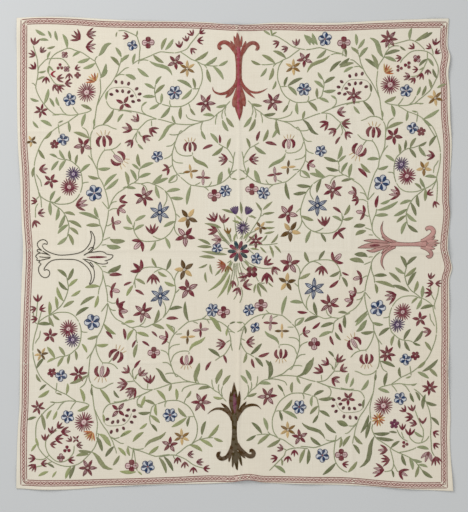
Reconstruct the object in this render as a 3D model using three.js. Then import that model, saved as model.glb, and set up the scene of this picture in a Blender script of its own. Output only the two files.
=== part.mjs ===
// Embroidered linen floor cloth, spread out flat on the floor. Millimetres, +Z up.
// The origin is the centre of the cloth's outline on the floor, +X runs to the right and +Y to the far edge.
// The cloth is one length of linen with its narrow hems turned in the same cloth. It draws in at the middle of
// each side, it keeps the ridges of having been stored folded in four both ways, and its edges ripple.
import * as THREE from 'three';
import { mergeVertices } from 'three/addons/utils/BufferGeometryUtils.js';

// Driving dimensions of the cloth.
const WIDTH = 1310; // from the furthest point of the left edge to the furthest point of the right one
const LENGTH = 1422; // from the furthest point of the near edge to the furthest point of the far one
const THICKNESS = 1.5; // linen with the stitches' backs under it
const RIPPLE_DEPTH = 75; // how far a ripple of the edge runs in over the cloth
const HEM = 11; // the turned edge, which the mesh follows with a line of its own
const MESH_STEP = 42; // longest side of one facet away from ridges and hems

// How far each edge lies inside the straight line through its furthest points.
// along is the share of the side, from the left on the near and far edges and from the near end on the others.
const LEFT_EDGE = [
  { along: 0.0, drawn: 0 },
  { along: 0.08, drawn: 2 },
  { along: 0.13, drawn: 5 },
  { along: 0.18, drawn: 10 },
  { along: 0.33, drawn: 12 },
  { along: 0.44, drawn: 16 },
  { along: 0.507, drawn: 21 },
  { along: 0.57, drawn: 16 },
  { along: 0.67, drawn: 11 },
  { along: 0.73, drawn: 5 },
  { along: 0.85, drawn: 2 },
  { along: 1.0, drawn: 1 },
];
const RIGHT_EDGE = [
  { along: 0.0, drawn: 0 },
  { along: 0.05, drawn: 5 },
  { along: 0.11, drawn: 10 },
  { along: 0.16, drawn: 8 },
  { along: 0.25, drawn: 15 },
  { along: 0.32, drawn: 11 },
  { along: 0.41, drawn: 12 },
  { along: 0.45, drawn: 11 },
  { along: 0.472, drawn: 3 },
  { along: 0.495, drawn: 11 },
  { along: 0.515, drawn: 17 },
  { along: 0.585, drawn: 9 },
  { along: 0.615, drawn: 13 },
  { along: 0.68, drawn: 8 },
  { along: 0.735, drawn: 4 },
  { along: 0.79, drawn: 9 },
  { along: 0.85, drawn: 10 },
  { along: 0.885, drawn: 15 },
  { along: 0.92, drawn: 9 },
  { along: 0.94, drawn: 16 },
  { along: 1.0, drawn: 13 },
];
const NEAR_EDGE = [
  { along: 0.0, drawn: 8 },
  { along: 0.06, drawn: 4 },
  { along: 0.13, drawn: 5 },
  { along: 0.2, drawn: 12 },
  { along: 0.3, drawn: 19 },
  { along: 0.43, drawn: 22 },
  { along: 0.49, drawn: 26 },
  { along: 0.53, drawn: 34 },
  { along: 0.57, drawn: 25 },
  { along: 0.66, drawn: 21 },
  { along: 0.75, drawn: 18 },
  { along: 0.84, drawn: 12 },
  { along: 0.91, drawn: 5 },
  { along: 1.0, drawn: 0 },
];
const FAR_EDGE = [
  { along: 0.0, drawn: 3 },
  { along: 0.05, drawn: 0 },
  { along: 0.14, drawn: 2 },
  { along: 0.21, drawn: 7 },
  { along: 0.28, drawn: 12 },
  { along: 0.43, drawn: 15 },
  { along: 0.515, drawn: 24 },
  { along: 0.6, drawn: 17 },
  { along: 0.74, drawn: 18 },
  { along: 0.83, drawn: 12 },
  { along: 0.93, drawn: 7 },
  { along: 1.0, drawn: 5 },
];

// The ridges that the stored folds left: where each lies as a share of the cloth, how high and how wide it is.
const RIDGES_ACROSS_WIDTH = [
  { at: 0.248, height: 1.2, reach: 15 },
  { at: 0.51, height: 3.0, reach: 13 },
  { at: 0.772, height: 1.2, reach: 15 },
];
const RIDGES_ACROSS_LENGTH = [
  { at: 0.265, height: 1.0, reach: 15 },
  { at: 0.506, height: 1.8, reach: 14 },
  { at: 0.758, height: 1.0, reach: 15 },
];

// The ripples of each edge: the middle of each as a share of the side, its length along the edge and its lift.
const RIPPLES = {
  left: [
    { along: 0.03, span: 130, lift: 3.0 },
    { along: 0.21, span: 230, lift: 2.5 },
    { along: 0.5, span: 250, lift: 5.0 },
    { along: 0.68, span: 190, lift: 3.0 },
    { along: 0.96, span: 130, lift: 4.0 },
  ],
  right: [
    { along: 0.02, span: 140, lift: 4.5 },
    { along: 0.25, span: 220, lift: 5.0 },
    { along: 0.4, span: 150, lift: 3.0 },
    { along: 0.515, span: 110, lift: 6.5 },
    { along: 0.62, span: 160, lift: 5.0 },
    { along: 0.79, span: 190, lift: 3.5 },
    { along: 0.9, span: 150, lift: 5.0 },
  ],
  near: [
    { along: 0.07, span: 170, lift: 3.0 },
    { along: 0.28, span: 240, lift: 2.5 },
    { along: 0.53, span: 150, lift: 7.0 },
    { along: 0.66, span: 170, lift: 3.0 },
    { along: 0.88, span: 200, lift: 4.0 },
  ],
  far: [
    { along: 0.1, span: 200, lift: 4.5 },
    { along: 0.3, span: 210, lift: 3.0 },
    { along: 0.515, span: 150, lift: 5.5 },
    { along: 0.73, span: 230, lift: 3.0 },
    { along: 0.97, span: 110, lift: 3.5 },
  ],
};

// The value of one column of a table at any share along it, on a smooth curve through the rows.
function smoothThrough(rows, column, share) {
  const last = rows.length - 1;
  const row = (i) => rows[Math.min(Math.max(i, 0), last)];
  const slope = (i) => {
    const rise = row(i + 1)[column] - row(i - 1)[column];
    return rise / (row(i + 1).along - row(i - 1).along);
  };
  let i = 0;
  while (i < last - 1 && share > rows[i + 1].along) i += 1;
  const run = row(i + 1).along - row(i).along;
  const t = (share - row(i).along) / run;
  return (
    row(i)[column] * (2 * t ** 3 - 3 * t ** 2 + 1) +
    slope(i) * run * (t ** 3 - 2 * t ** 2 + t) +
    row(i + 1)[column] * (3 * t ** 2 - 2 * t ** 3) +
    slope(i + 1) * run * (t ** 3 - t ** 2)
  );
}

// Where a point of the cloth lies on the floor: u and v are its shares of the width and of the length.
function placeOnFloor(u, v) {
  const left = -WIDTH / 2 + smoothThrough(LEFT_EDGE, 'drawn', v);
  const right = WIDTH / 2 - smoothThrough(RIGHT_EDGE, 'drawn', v);
  const near = -LENGTH / 2 + smoothThrough(NEAR_EDGE, 'drawn', u);
  const far = LENGTH / 2 - smoothThrough(FAR_EDGE, 'drawn', u);
  return { x: left + (right - left) * u, y: near + (far - near) * v };
}

// The lift of one set of ridges: a straight-sided tent over each fold line.
function ridgeLift(ridges, share, size) {
  const lifts = ridges.map((ridge) => {
    const away = Math.abs(share - ridge.at) * size;
    return ridge.height * Math.max(0, 1 - away / ridge.reach);
  });
  return Math.max(...lifts);
}

// The lift of one edge's ripples: a round hump along the edge, fading to nothing over the ripple's depth.
function rippleLift(ripples, share, sideLength, fromEdge) {
  const fade = Math.max(0, 1 - fromEdge / RIPPLE_DEPTH) ** 2;
  const lifts = ripples.map((ripple) => {
    const away = (Math.abs(share - ripple.along) * sideLength) / (ripple.span / 2);
    return away < 1 ? ripple.lift * Math.cos((away * Math.PI) / 2) ** 2 : 0;
  });
  return fade * Math.max(...lifts);
}

// How high the cloth's underside stands off the floor.
function liftOffFloor(u, v) {
  const ridges = Math.max(
    ridgeLift(RIDGES_ACROSS_WIDTH, u, WIDTH),
    ridgeLift(RIDGES_ACROSS_LENGTH, v, LENGTH),
  );
  const ripples = Math.max(
    rippleLift(RIPPLES.left, v, LENGTH, u * WIDTH),
    rippleLift(RIPPLES.right, v, LENGTH, (1 - u) * WIDTH),
    rippleLift(RIPPLES.near, u, WIDTH, v * LENGTH),
    rippleLift(RIPPLES.far, u, WIDTH, (1 - v) * LENGTH),
  );
  return ridges + ripples;
}

// The mesh lines in one direction: hems and ridges have lines of their own, and even steps fill the rest.
function meshLines(ridges, size) {
  const marks = [0, HEM / size, 1 - HEM / size, 1];
  for (const ridge of ridges) {
    const reach = ridge.reach / size;
    marks.push(ridge.at - reach, ridge.at, ridge.at + reach);
  }
  marks.sort((a, b) => a - b);
  const lines = [0];
  for (let i = 1; i < marks.length; i += 1) {
    const gap = marks[i] - marks[i - 1];
    const steps = Math.ceil((gap * size) / MESH_STEP);
    for (let k = 1; k <= steps; k += 1) lines.push(marks[i - 1] + (gap * k) / steps);
  }
  return lines;
}

// The cloth as one closed sheet: a top and an underside of the same lines, and a wall round the edge.
function clothGeometry() {
  const us = meshLines(RIDGES_ACROSS_WIDTH, WIDTH);
  const vs = meshLines(RIDGES_ACROSS_LENGTH, LENGTH);
  const corner = (i, j, side) => {
    const { x, y } = placeOnFloor(us[i], vs[j]);
    return [x, y, liftOffFloor(us[i], vs[j]) + side * THICKNESS];
  };
  const triangles = [];
  const quad = (a, b, c, d) => triangles.push(...a, ...b, ...c, ...a, ...c, ...d);
  const lastU = us.length - 1;
  const lastV = vs.length - 1;
  for (let i = 0; i < lastU; i += 1) {
    for (let j = 0; j < lastV; j += 1) {
      quad(corner(i, j, 1), corner(i + 1, j, 1), corner(i + 1, j + 1, 1), corner(i, j + 1, 1));
      quad(corner(i, j, 0), corner(i, j + 1, 0), corner(i + 1, j + 1, 0), corner(i + 1, j, 0));
    }
    quad(corner(i, 0, 0), corner(i + 1, 0, 0), corner(i + 1, 0, 1), corner(i, 0, 1));
    quad(corner(i + 1, lastV, 0), corner(i, lastV, 0), corner(i, lastV, 1), corner(i + 1, lastV, 1));
  }
  for (let j = 0; j < lastV; j += 1) {
    quad(corner(0, j + 1, 0), corner(0, j, 0), corner(0, j, 1), corner(0, j + 1, 1));
    quad(corner(lastU, j, 0), corner(lastU, j + 1, 0), corner(lastU, j + 1, 1), corner(lastU, j, 1));
  }
  const geometry = new THREE.BufferGeometry();
  geometry.setAttribute('position', new THREE.Float32BufferAttribute(triangles, 3));
  return mergeVertices(geometry);
}

// Unbleached linen, a warm cream.
const linen = new THREE.MeshStandardMaterial({ color: 0xe2dac6, roughness: 0.92, metalness: 0 });

const cloth = new THREE.Mesh(clothGeometry(), linen);
cloth.name = 'linen_cloth';

const carpet = new THREE.Group();
carpet.add(cloth);

export default carpet;
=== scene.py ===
# Embroidered linen floor cloth, spread out flat on a pale floor and seen from straight above.
# Everything is in metres in the frame of the cloth: +X to the right, +Y to the far edge, +Z up.
from functools import partial

import bpy
import numpy as np
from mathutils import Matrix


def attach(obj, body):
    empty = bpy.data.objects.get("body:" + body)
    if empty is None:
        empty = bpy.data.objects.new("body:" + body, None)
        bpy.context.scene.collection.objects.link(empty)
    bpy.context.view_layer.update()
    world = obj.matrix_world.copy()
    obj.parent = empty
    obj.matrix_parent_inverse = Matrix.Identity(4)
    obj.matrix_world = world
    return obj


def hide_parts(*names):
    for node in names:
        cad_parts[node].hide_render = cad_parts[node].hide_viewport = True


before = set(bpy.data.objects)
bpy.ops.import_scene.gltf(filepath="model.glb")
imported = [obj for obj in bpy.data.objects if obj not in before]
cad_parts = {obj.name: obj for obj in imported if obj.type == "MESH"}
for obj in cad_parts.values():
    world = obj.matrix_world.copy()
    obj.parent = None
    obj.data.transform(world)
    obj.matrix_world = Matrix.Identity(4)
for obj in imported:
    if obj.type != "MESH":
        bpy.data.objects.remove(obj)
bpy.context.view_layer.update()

# The view. The cloth is seen from straight above, the camera's middle is the picture's middle, and 1 px
# of the picture is 3 mm. The floor is plain and pale. A broad soft lamp stands at the far left and a weak
# one opposite.
PIXEL = 0.003
PICTURE_HEIGHT = 512 * PIXEL
CLOTH_MIDDLE = {"px": 234.75, "py": 254.0}
VIEW_MIDDLE = {"px": 234.0, "py": 256.0}
CAMERA_HEIGHT = 4.2
SENSOR = 36.0
FLOOR_SIZE = 9.0
FLOOR_DROP = 0.0006


def srgb(red, green, blue):
    """The linear colour of three values of 0 to 255 read off a screen."""
    share = np.array([red, green, blue]) / 255
    return np.where(share < 0.04, share / 12.92, ((share + 0.055) / 1.055) ** 2.4)


class Shade:
    """One socket of a material. Arithmetic on it adds Math nodes."""

    def __init__(self, tree, socket):
        self.tree = tree
        self.socket = socket

    def math(self, operation, *values):
        """What one Math node makes of the values."""
        node = self.tree.nodes.new("ShaderNodeMath")
        node.operation = operation
        for place, value in zip(node.inputs, values):
            if isinstance(value, Shade):
                self.tree.links.new(value.socket, place)
            else:
                place.default_value = value
        return Shade(self.tree, node.outputs[0])

    def __add__(self, other):
        return self.math("ADD", self, other)

    def __sub__(self, other):
        return self.math("SUBTRACT", self, other)

    def __rsub__(self, other):
        return self.math("SUBTRACT", other, self)

    def __mul__(self, other):
        return self.math("MULTIPLY", self, other)

    __radd__ = __add__
    __rmul__ = __mul__

    def sine(self):
        """The sine of the value, in radians."""
        return self.math("SINE", self)

    def size(self):
        """The value without its sign."""
        return self.math("ABSOLUTE", self)

    def within(self, low, high):
        """The value, held between low and high."""
        return self.math("MINIMUM", self.math("MAXIMUM", self, low), high)


class Finish:
    """A material being made: node() adds any node and gives its outputs by name."""

    def __init__(self, name):
        self.material = bpy.data.materials.new(name)
        self.material.use_nodes = True
        self.tree = self.material.node_tree
        self.surface = self.tree.nodes["Principled BSDF"]

    def set(self, node, sockets):
        """Gives a node's sockets their values or links, by name."""
        for key, value in sockets.items():
            place = next(s for s in node.inputs if s.enabled and key in (s.name, s.identifier))
            if isinstance(value, Shade):
                self.tree.links.new(value.socket, place)
            else:
                place.default_value = value

    def node(self, kind, settings=None, **sockets):
        """A node of this type with its settings made first, then its sockets' values, as its outputs."""
        node = self.tree.nodes.new(kind)
        for key, value in (settings or {}).items():
            setattr(node, key, value)
        self.set(node, {key.replace("_", " "): value for key, value in sockets.items()})
        return {s.name: Shade(self.tree, s) for s in node.outputs if s.enabled}

    def mix(self, factor, first, second, blend="MIX"):
        """Two colours mixed by a factor of 0 to 1."""
        node = self.tree.nodes.new("ShaderNodeMix")
        node.data_type = "RGBA"
        node.blend_type = blend
        self.set(node, {"Factor": factor, "A": first, "B": second})
        return Shade(self.tree, next(s for s in node.outputs if s.enabled))

    def stretched(self, vector, x, y):
        """A vector times one number along x and one along y."""
        return self.node("ShaderNodeMapping", None, Vector=vector, Scale=(x, y, 1.0))["Vector"]

    def noise(self, vector, scale, detail=2.0, roughness=0.5):
        """Noise from 0 to 1 that changes about scale times in a metre."""
        values = {"Vector": vector, "Scale": scale, "Detail": detail, "Roughness": roughness}
        return self.node("ShaderNodeTexNoise", None, **values)["Fac"]


def solid(colour):
    """A colour of three numbers as a socket wants it."""
    return (*(float(c) for c in colour), 1.0)


def new_object(name, points, corners, totals, material):
    """An object at the origin. Its mesh is whole arrays: points, face corners and corners per face."""
    mesh = bpy.data.meshes.new(name)
    mesh.vertices.add(len(points))
    mesh.vertices.foreach_set("co", np.asarray(points, np.float32).ravel())
    mesh.loops.add(len(corners))
    mesh.loops.foreach_set("vertex_index", np.asarray(corners, np.int32))
    mesh.polygons.add(len(totals))
    starts = np.concatenate([[0], np.cumsum(totals)[:-1]])
    mesh.polygons.foreach_set("loop_start", starts.astype(np.int32))
    mesh.polygons.foreach_set("loop_total", np.asarray(totals, np.int32))
    mesh.update(calc_edges=True)
    mesh.shade_smooth()
    mesh.materials.append(material)
    piece = bpy.data.objects.new(name, mesh)
    bpy.context.scene.collection.objects.link(piece)
    return piece


camera_data = bpy.data.cameras.new("camera_above")
camera_data.sensor_width = SENSOR
camera_data.lens = SENSOR * CAMERA_HEIGHT / PICTURE_HEIGHT
camera_data.clip_end = 30.0
camera = bpy.data.objects.new("camera_above", camera_data)
camera.location = (
    (VIEW_MIDDLE["px"] - CLOTH_MIDDLE["px"]) * PIXEL,
    (CLOTH_MIDDLE["py"] - VIEW_MIDDLE["py"]) * PIXEL,
    CAMERA_HEIGHT,
)
bpy.context.scene.collection.objects.link(camera)
bpy.context.scene.camera = camera

floor_finish = Finish("pale_floor")
floor_place = floor_finish.node("ShaderNodeTexCoord")["Object"]
floor_cloud = floor_finish.noise(floor_place, 0.9, 3.0)
floor_grey = floor_finish.mix(floor_cloud, solid(srgb(196, 198, 199)), solid(srgb(200, 202, 202)))
floor_finish.set(floor_finish.surface, {"Base Color": floor_grey, "Roughness": 0.95})
floor_finish.set(floor_finish.surface, {"Specular IOR Level": 0.1})
half = FLOOR_SIZE / 2
floor_corners = [(-half, -half), (half, -half), (half, half), (-half, half)]
floor_points = [(x, y, -FLOOR_DROP) for x, y in floor_corners]
floor = new_object("pale_floor", floor_points, [0, 1, 2, 3], [4], floor_finish.material)

for name, power, size, place, turn in (
    ("broad_lamp", 131.0, 2.6, (-2.6, 2.3, 2.9), (-0.62, -0.72, 0.0)),
    ("weak_lamp", 35.0, 3.0, (2.2, -1.6, 3.4), (0.42, 0.58, 0.0)),
):
    lamp_data = bpy.data.lights.new(name, "AREA")
    lamp_data.energy = power
    lamp_data.size = size
    lamp = bpy.data.objects.new(name, lamp_data)
    lamp.location = place
    lamp.rotation_euler = turn
    bpy.context.scene.collection.objects.link(lamp)
sky = bpy.data.worlds.new("studio_air")
sky.use_nodes = True
sky.node_tree.nodes["Background"].inputs["Color"].default_value = (1.0, 1.0, 1.0, 1.0)
sky.node_tree.nodes["Background"].inputs["Strength"].default_value = 0.50
bpy.context.scene.world = sky
bpy.context.scene.view_settings.view_transform = "Standard"

# The linen: one hand-woven length of unbleached cloth, 1.31 m by 1.42 m, with a narrow hem turned on all
# sides. It draws in at the middle of each side, keeps the ridges of its stored folds, and ripples along
# its edges.
WIDTH = 1.310
LENGTH = 1.422
LINEN_THICKNESS = 0.0011
RIPPLE_DEPTH = 0.075
HEM = {"width": 0.009, "step": 0.0018, "height": 0.0005}
SHEET_LINES = {"across": 208, "along": 220}


def columns(text):
    """A short table written sideways: each line is a column's name and its values."""
    lines = (line.split() for line in text.strip().splitlines())
    return {name: np.array(values, float) for name, *values in lines}


def value_of(word):
    """A word of a table, as a number where it reads as one."""
    return float(word) if word.lstrip("-").replace(".", "", 1).isdigit() else word


def rows(text):
    """A short table: the first line names the columns, and each other line is one row by those names."""
    names, *lines = (line.split() for line in text.strip().splitlines())
    return [dict(zip(names, map(value_of, line))) for line in lines]


# How far each edge lies inside the straight line through its furthest points, in millimetres.
LEFT_EDGE = columns("""
    along 0 .08 .13 .18 .33 .44 .507 .57 .67 .73 .85 1
    drawn 0 2   5   10  12  16  21   16  11  5   2   1
""")
RIGHT_EDGE = columns("""
    along 0 .05 .11 .16 .25 .32 .41 .45 .472 .495 .515 .585 .615 .68 .735 .79 .85 .885 .92 .94 1
    drawn 0 5   10  8   15  11  12  11  3    11   17   9    13   8   4    9   10  15   9   16  13
""")
NEAR_EDGE = columns("""
    along 0 .06 .13 .2 .3 .43 .49 .53 .57 .66 .75 .84 .91 1
    drawn 8 4   5   12 19 22  26  34  25  21  18  12  5   0
""")
FAR_EDGE = columns("""
    along 0 .05 .14 .21 .28 .43 .515 .6 .74 .83 .93 1
    drawn 3 0   2   7   12  15  24   17 18  12  7   5
""")

# Where the sheet's lines lie closer together, over the folds and beside the edges, as shares of the sheet:
# the middle of each strip, its reach and how many more lines it gets.
FINE_STRIPS_ACROSS = rows("""
    middle reach extra
    0      .012  2
    .51    .035  1.6
    .248   .014  1
    .772   .014  1
    1      .012  2
""")
FINE_STRIPS_ALONG = rows("""
    middle reach extra
    0      .012  2
    .506   .014  1.3
    .265   .014  1
    .758   .014  1
    1      .012  2
""")

# The ridges of the stored folds: place as a share of the cloth, height and reach in millimetres.
RIDGES_ACROSS = rows("""
    at    height reach wander
    .248  1.2    15    1.5
    .51   3.0    13    1.2
    .772  1.2    15    1.8
""")
RIDGES_ALONG = rows("""
    at    height reach wander
    .265  1.0    15    1.6
    .506  1.8    14    1.4
    .758  1.0    15    1.5
""")

# The ripples of each edge: middle as a share of the side, length along the edge and lift in millimetres.
RIPPLES = rows("""
    edge  along span lift
    left  .03   130  3.0
    left  .21   230  2.5
    left  .5    250  5.0
    left  .68   190  3.0
    left  .96   130  4.0
    right .02   140  4.5
    right .25   220  5.0
    right .4    150  3.0
    right .515  110  6.5
    right .62   160  5.0
    right .79   190  3.5
    right .9    150  5.0
    near  .07   170  3.0
    near  .28   240  2.5
    near  .53   150  7.0
    near  .66   170  3.0
    near  .88   200  4.0
    far   .1    200  4.5
    far   .3    210  3.0
    far   .515  150  5.5
    far   .73   230  3.0
    far   .97   110  3.5
""")

# Small puckers where dense stitching has drawn the linen up: middle, direction in which they run, their
# spacing, how far they reach each way and their height, in millimetres and degrees.
PUCKERS = rows("""
    x    y     runs spacing reach height
    -8   -640  90   19      60    0.9
    14   -560  84   23      70    0.5
    210  -655  60   26      55    0.6
    10   640   90   24      60    0.5
    22   -690  88   17      45    0.9
    -150 -640  75   30      60    0.35
    430  430   70   34      90    0.3
    -420 -420  60   36      90    0.3
    560  -300  15   30      80    0.45
    600  20    5    26      60    0.5
    -560 30    175  30      60    0.4
    300  -120  100  60      160   0.3
""")


def smooth_through(table, column, share):
    """A cubic Hermite curve through a table's rows, with each slope taken from the rows on both sides."""
    at, value = table["along"], table[column]
    index = np.arange(len(at))
    ahead, behind = np.minimum(index + 1, len(at) - 1), np.maximum(index - 1, 0)
    slope = (value[ahead] - value[behind]) / (at[ahead] - at[behind])
    i = np.clip(np.searchsorted(at, share, side="right") - 1, 0, len(at) - 2)
    run = at[i + 1] - at[i]
    t = (share - at[i]) / run
    return (
        value[i] * (2 * t**3 - 3 * t**2 + 1)
        + slope[i] * run * (t**3 - 2 * t**2 + t)
        + value[i + 1] * (3 * t**2 - 2 * t**3)
        + slope[i + 1] * run * (t**3 - t**2)
    )


def edges_at(u, v):
    """Where the left and right edges lie at length share v, and the near and far ones at width share u."""
    left = -WIDTH / 2 + smooth_through(LEFT_EDGE, "drawn", v) / 1000
    right = WIDTH / 2 - smooth_through(RIGHT_EDGE, "drawn", v) / 1000
    near = -LENGTH / 2 + smooth_through(NEAR_EDGE, "drawn", u) / 1000
    far = LENGTH / 2 - smooth_through(FAR_EDGE, "drawn", u) / 1000
    return left, right, near, far


def on_floor(u, v):
    """x and y of the point at shares u of the width and v of the length, straight between the edges."""
    left, right, near, far = edges_at(u, v)
    return left + (right - left) * u, near + (far - near) * v


def shares_at(x, y):
    """u and v of a point: on_floor turned round by taking the edges' places a few times over."""
    u, v = x / WIDTH + 0.5, y / LENGTH + 0.5
    for _ in range(4):
        left, right, near, far = edges_at(np.clip(u, 0, 1), np.clip(v, 0, 1))
        u, v = (x - left) / (right - left), (y - near) / (far - near)
    return u, v


def ridge_lift(ridges, across, along, size):
    """Rounded ridges: a bell over each fold line, which wanders a little and rises and falls along it."""
    lift = np.zeros_like(across)
    for ridge in ridges:
        wander = ridge["wander"] * (np.sin(along * 23 + ridge["at"] * 40) + 0.6 * np.sin(along * 51 + 1))
        away = (across - ridge["at"]) * size * 1000 - wander
        uneven = 0.8 + 0.2 * np.sin(along * 17 + ridge["at"] * 9) + 0.12 * np.sin(along * 47)
        bell = np.exp(-((away / (0.42 * ridge["reach"])) ** 2))
        lift = np.maximum(lift, ridge["height"] * uneven * bell)
    return lift / 1000


def ripple_lift(u, v):
    """Humps along the edges: cosine squared along the edge, dying away as a square over RIPPLE_DEPTH."""
    side = {
        "left": (v, u * WIDTH, LENGTH),
        "right": (v, (1 - u) * WIDTH, LENGTH),
        "near": (u, v * LENGTH, WIDTH),
        "far": (u, (1 - v) * LENGTH, WIDTH),
    }
    lift = np.zeros_like(u)
    for ripple in RIPPLES:
        share, inward, length = side[ripple["edge"]]
        away = np.abs(share - ripple["along"]) * length * 2000 / ripple["span"]
        hump = np.where(away < 1, np.cos(np.minimum(away, 1) * np.pi / 2) ** 2, 0)
        fade = np.maximum(0, 1 - inward / RIPPLE_DEPTH) ** 2
        lift = np.maximum(lift, ripple["lift"] / 1000 * hump * fade)
    return lift


def pucker_lift(x, y):
    """Short waves across the direction that a pucker runs in, inside a bell as wide as its reach."""
    lift = np.zeros_like(x)
    for pucker in PUCKERS:
        turn = np.radians(pucker["runs"])
        dx, dy = x * 1000 - pucker["x"], y * 1000 - pucker["y"]
        across = dx * np.sin(turn) - dy * np.cos(turn)
        along = dx * np.cos(turn) + dy * np.sin(turn)
        bell = np.exp(-(across**2 + 0.35 * along**2) / pucker["reach"] ** 2)
        wave = 0.5 + 0.5 * np.sin(2 * np.pi * across / pucker["spacing"] + 0.02 * along)
        lift += pucker["height"] / 1000 * bell * wave
    return lift


def underside(u, v):
    """How high the underside stands off the floor: ridges, ripples, puckers and a slow unevenness."""
    x, y = on_floor(u, v)
    slow = 0.25 + 0.25 * np.sin(9 * x + 2) * np.sin(7 * y + 1) + 0.1 * np.sin(31 * x + 17 * y)
    ridges = np.maximum(ridge_lift(RIDGES_ACROSS, u, v, WIDTH), ridge_lift(RIDGES_ALONG, v, u, LENGTH))
    return ridges + ripple_lift(u, v) + pucker_lift(x, y) + np.maximum(slow, 0) / 1000


def hem_height(u, v):
    """The doubled hem stands proud of the single cloth, with a soft step at its inner side."""
    inward = np.minimum(np.minimum(u, 1 - u) * WIDTH, np.minimum(v, 1 - v) * LENGTH)
    t = np.clip((HEM["width"] + HEM["step"] - inward) / HEM["step"], 0, 1)
    return HEM["height"] * t * t * (3 - 2 * t)


def mesh_lines(count, strips):
    """Shares from 0 to 1 for the sheet's lines, closer together in the fine strips.

    Their density is 1 and a bell over the middle of each strip, and they cut its running total evenly."""
    share = np.linspace(0, 1, 4001)
    bells = [s["extra"] * np.exp(-(((share - s["middle"]) / s["reach"]) ** 2)) for s in strips]
    density = 1 + sum(bells)
    total = np.concatenate([[0], np.cumsum((density[1:] + density[:-1]) / 2)])
    return np.interp(np.linspace(0, total[-1], count), total, share)


SHEET_U = mesh_lines(SHEET_LINES["across"], FINE_STRIPS_ACROSS)
SHEET_V = mesh_lines(SHEET_LINES["along"], FINE_STRIPS_ALONG)
sheet_u, sheet_v = np.meshgrid(SHEET_U, SHEET_V, indexing="ij")
sheet_x, sheet_y = on_floor(sheet_u, sheet_v)
SHEET_UNDER = underside(sheet_u, sheet_v)
SHEET_TOP = SHEET_UNDER + LINEN_THICKNESS + hem_height(sheet_u, sheet_v)


def cloth_top(x, y):
    """Height of the linen's face at x, y, straight between the sheet's points, so stitches touch it."""
    u, v = shares_at(x, y)
    i = np.clip(np.searchsorted(SHEET_U, u) - 1, 0, len(SHEET_U) - 2)
    j = np.clip(np.searchsorted(SHEET_V, v) - 1, 0, len(SHEET_V) - 2)
    s = np.clip((u - SHEET_U[i]) / (SHEET_U[i + 1] - SHEET_U[i]), 0, 1)
    t = np.clip((v - SHEET_V[j]) / (SHEET_V[j + 1] - SHEET_V[j]), 0, 1)
    low = SHEET_TOP[i, j] * (1 - s) + SHEET_TOP[i + 1, j] * s
    high = SHEET_TOP[i, j + 1] * (1 - s) + SHEET_TOP[i + 1, j + 1] * s
    return low * (1 - t) + high * t


def grid_quads(grid):
    """The four corners of each cell in a grid of point numbers, in order round the cell."""
    corners = (grid[:-1, :-1], grid[1:, :-1], grid[1:, 1:], grid[:-1, 1:])
    return np.stack([corner.ravel() for corner in corners], axis=1)


def sheet_arrays():
    """The sheet as two layers of the same grid, top and underside, and a wall of quads round the edge."""
    across, along = sheet_x.shape
    index = np.arange(across * along).reshape(across, along)
    under = index + across * along
    faces = [grid_quads(index), grid_quads(under)[:, ::-1]]
    rim = np.concatenate([index[:, 0], index[-1, 1:], index[-2::-1, -1], index[0, -2:0:-1]])
    after = np.roll(rim, -1)
    faces.append(np.stack([rim + across * along, after + across * along, after, rim], axis=1))
    layers = [np.stack([sheet_x, sheet_y, z], axis=2).reshape(-1, 3) for z in (SHEET_TOP, SHEET_UNDER)]
    quads = np.concatenate(faces)
    return np.concatenate(layers), quads.ravel(), np.full(len(quads), 4)


def linen_finish():
    """Plain weave as bump, the sine of x times the sine of y, with uneven threads as streaks both ways.

    Slow noise gives it pale stains and patches that have browned."""
    finish = Finish("plain_weave_linen")
    place = finish.node("ShaderNodeTexCoord")["Object"]
    axis = finish.node("ShaderNodeSeparateXYZ", None, Vector=place)
    wobble = (finish.noise(place, 60.0, 1.0) - 0.5) * 0.0016
    warp = ((axis["X"] + wobble) * (np.pi / 0.00085)).sine()
    weft = ((axis["Y"] + wobble) * (np.pi / 0.00092)).sine()
    weave = (warp * weft) * 0.5 + 0.5
    streaks_down = finish.noise(finish.stretched(place, 900.0, 9.0), 1.0, 2.0, 0.6)
    streaks_across = finish.noise(finish.stretched(place, 9.0, 900.0), 1.0, 2.0, 0.6)
    slubs = (streaks_down + streaks_across) * 0.5
    stain = finish.noise(place, 3.2, 4.0, 0.6)
    cream = finish.mix(stain.within(0.3, 0.7), solid(srgb(231, 226, 211)), solid(srgb(223, 216, 200)))
    warm = finish.noise(finish.stretched(place, 2.1, 1.4), 1.0, 3.0, 0.5)
    cream = finish.mix(((warm - 0.45) * 2.5).within(0.0, 0.6), cream, solid(srgb(226, 215, 195)))
    thread = finish.mix(((slubs - 0.5) * 3.2 + 0.5).within(0.0, 1.0), solid(srgb(206, 196, 176)), cream)
    colour = finish.mix(0.55, cream, thread)
    relief = weave * 0.7 + slubs * 0.9
    bump = finish.node("ShaderNodeBump", None, Strength=0.5, Distance=0.00025, Height=relief)["Normal"]
    roughness = 0.9 + (slubs - 0.5) * 0.1
    finish.set(finish.surface, {"Base Color": colour, "Normal": bump, "Roughness": roughness})
    finish.set(finish.surface, {"Specular IOR Level": 0.15, "Sheen Weight": 0.12})
    return finish.material


linen = new_object("linen_sheet", *sheet_arrays(), linen_finish())
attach(linen, "root")
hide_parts("linen_cloth")

# The flat area of the sheet: the full rectangle less what its edges draw in.
edge_share = np.linspace(0, 1, 400)
edge_left, edge_right, edge_near, edge_far = edges_at(edge_share, edge_share)
drawn_in_length = np.mean(LENGTH - (edge_far - edge_near))
drawn_in_width = np.mean(WIDTH - (edge_right - edge_left))

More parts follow.
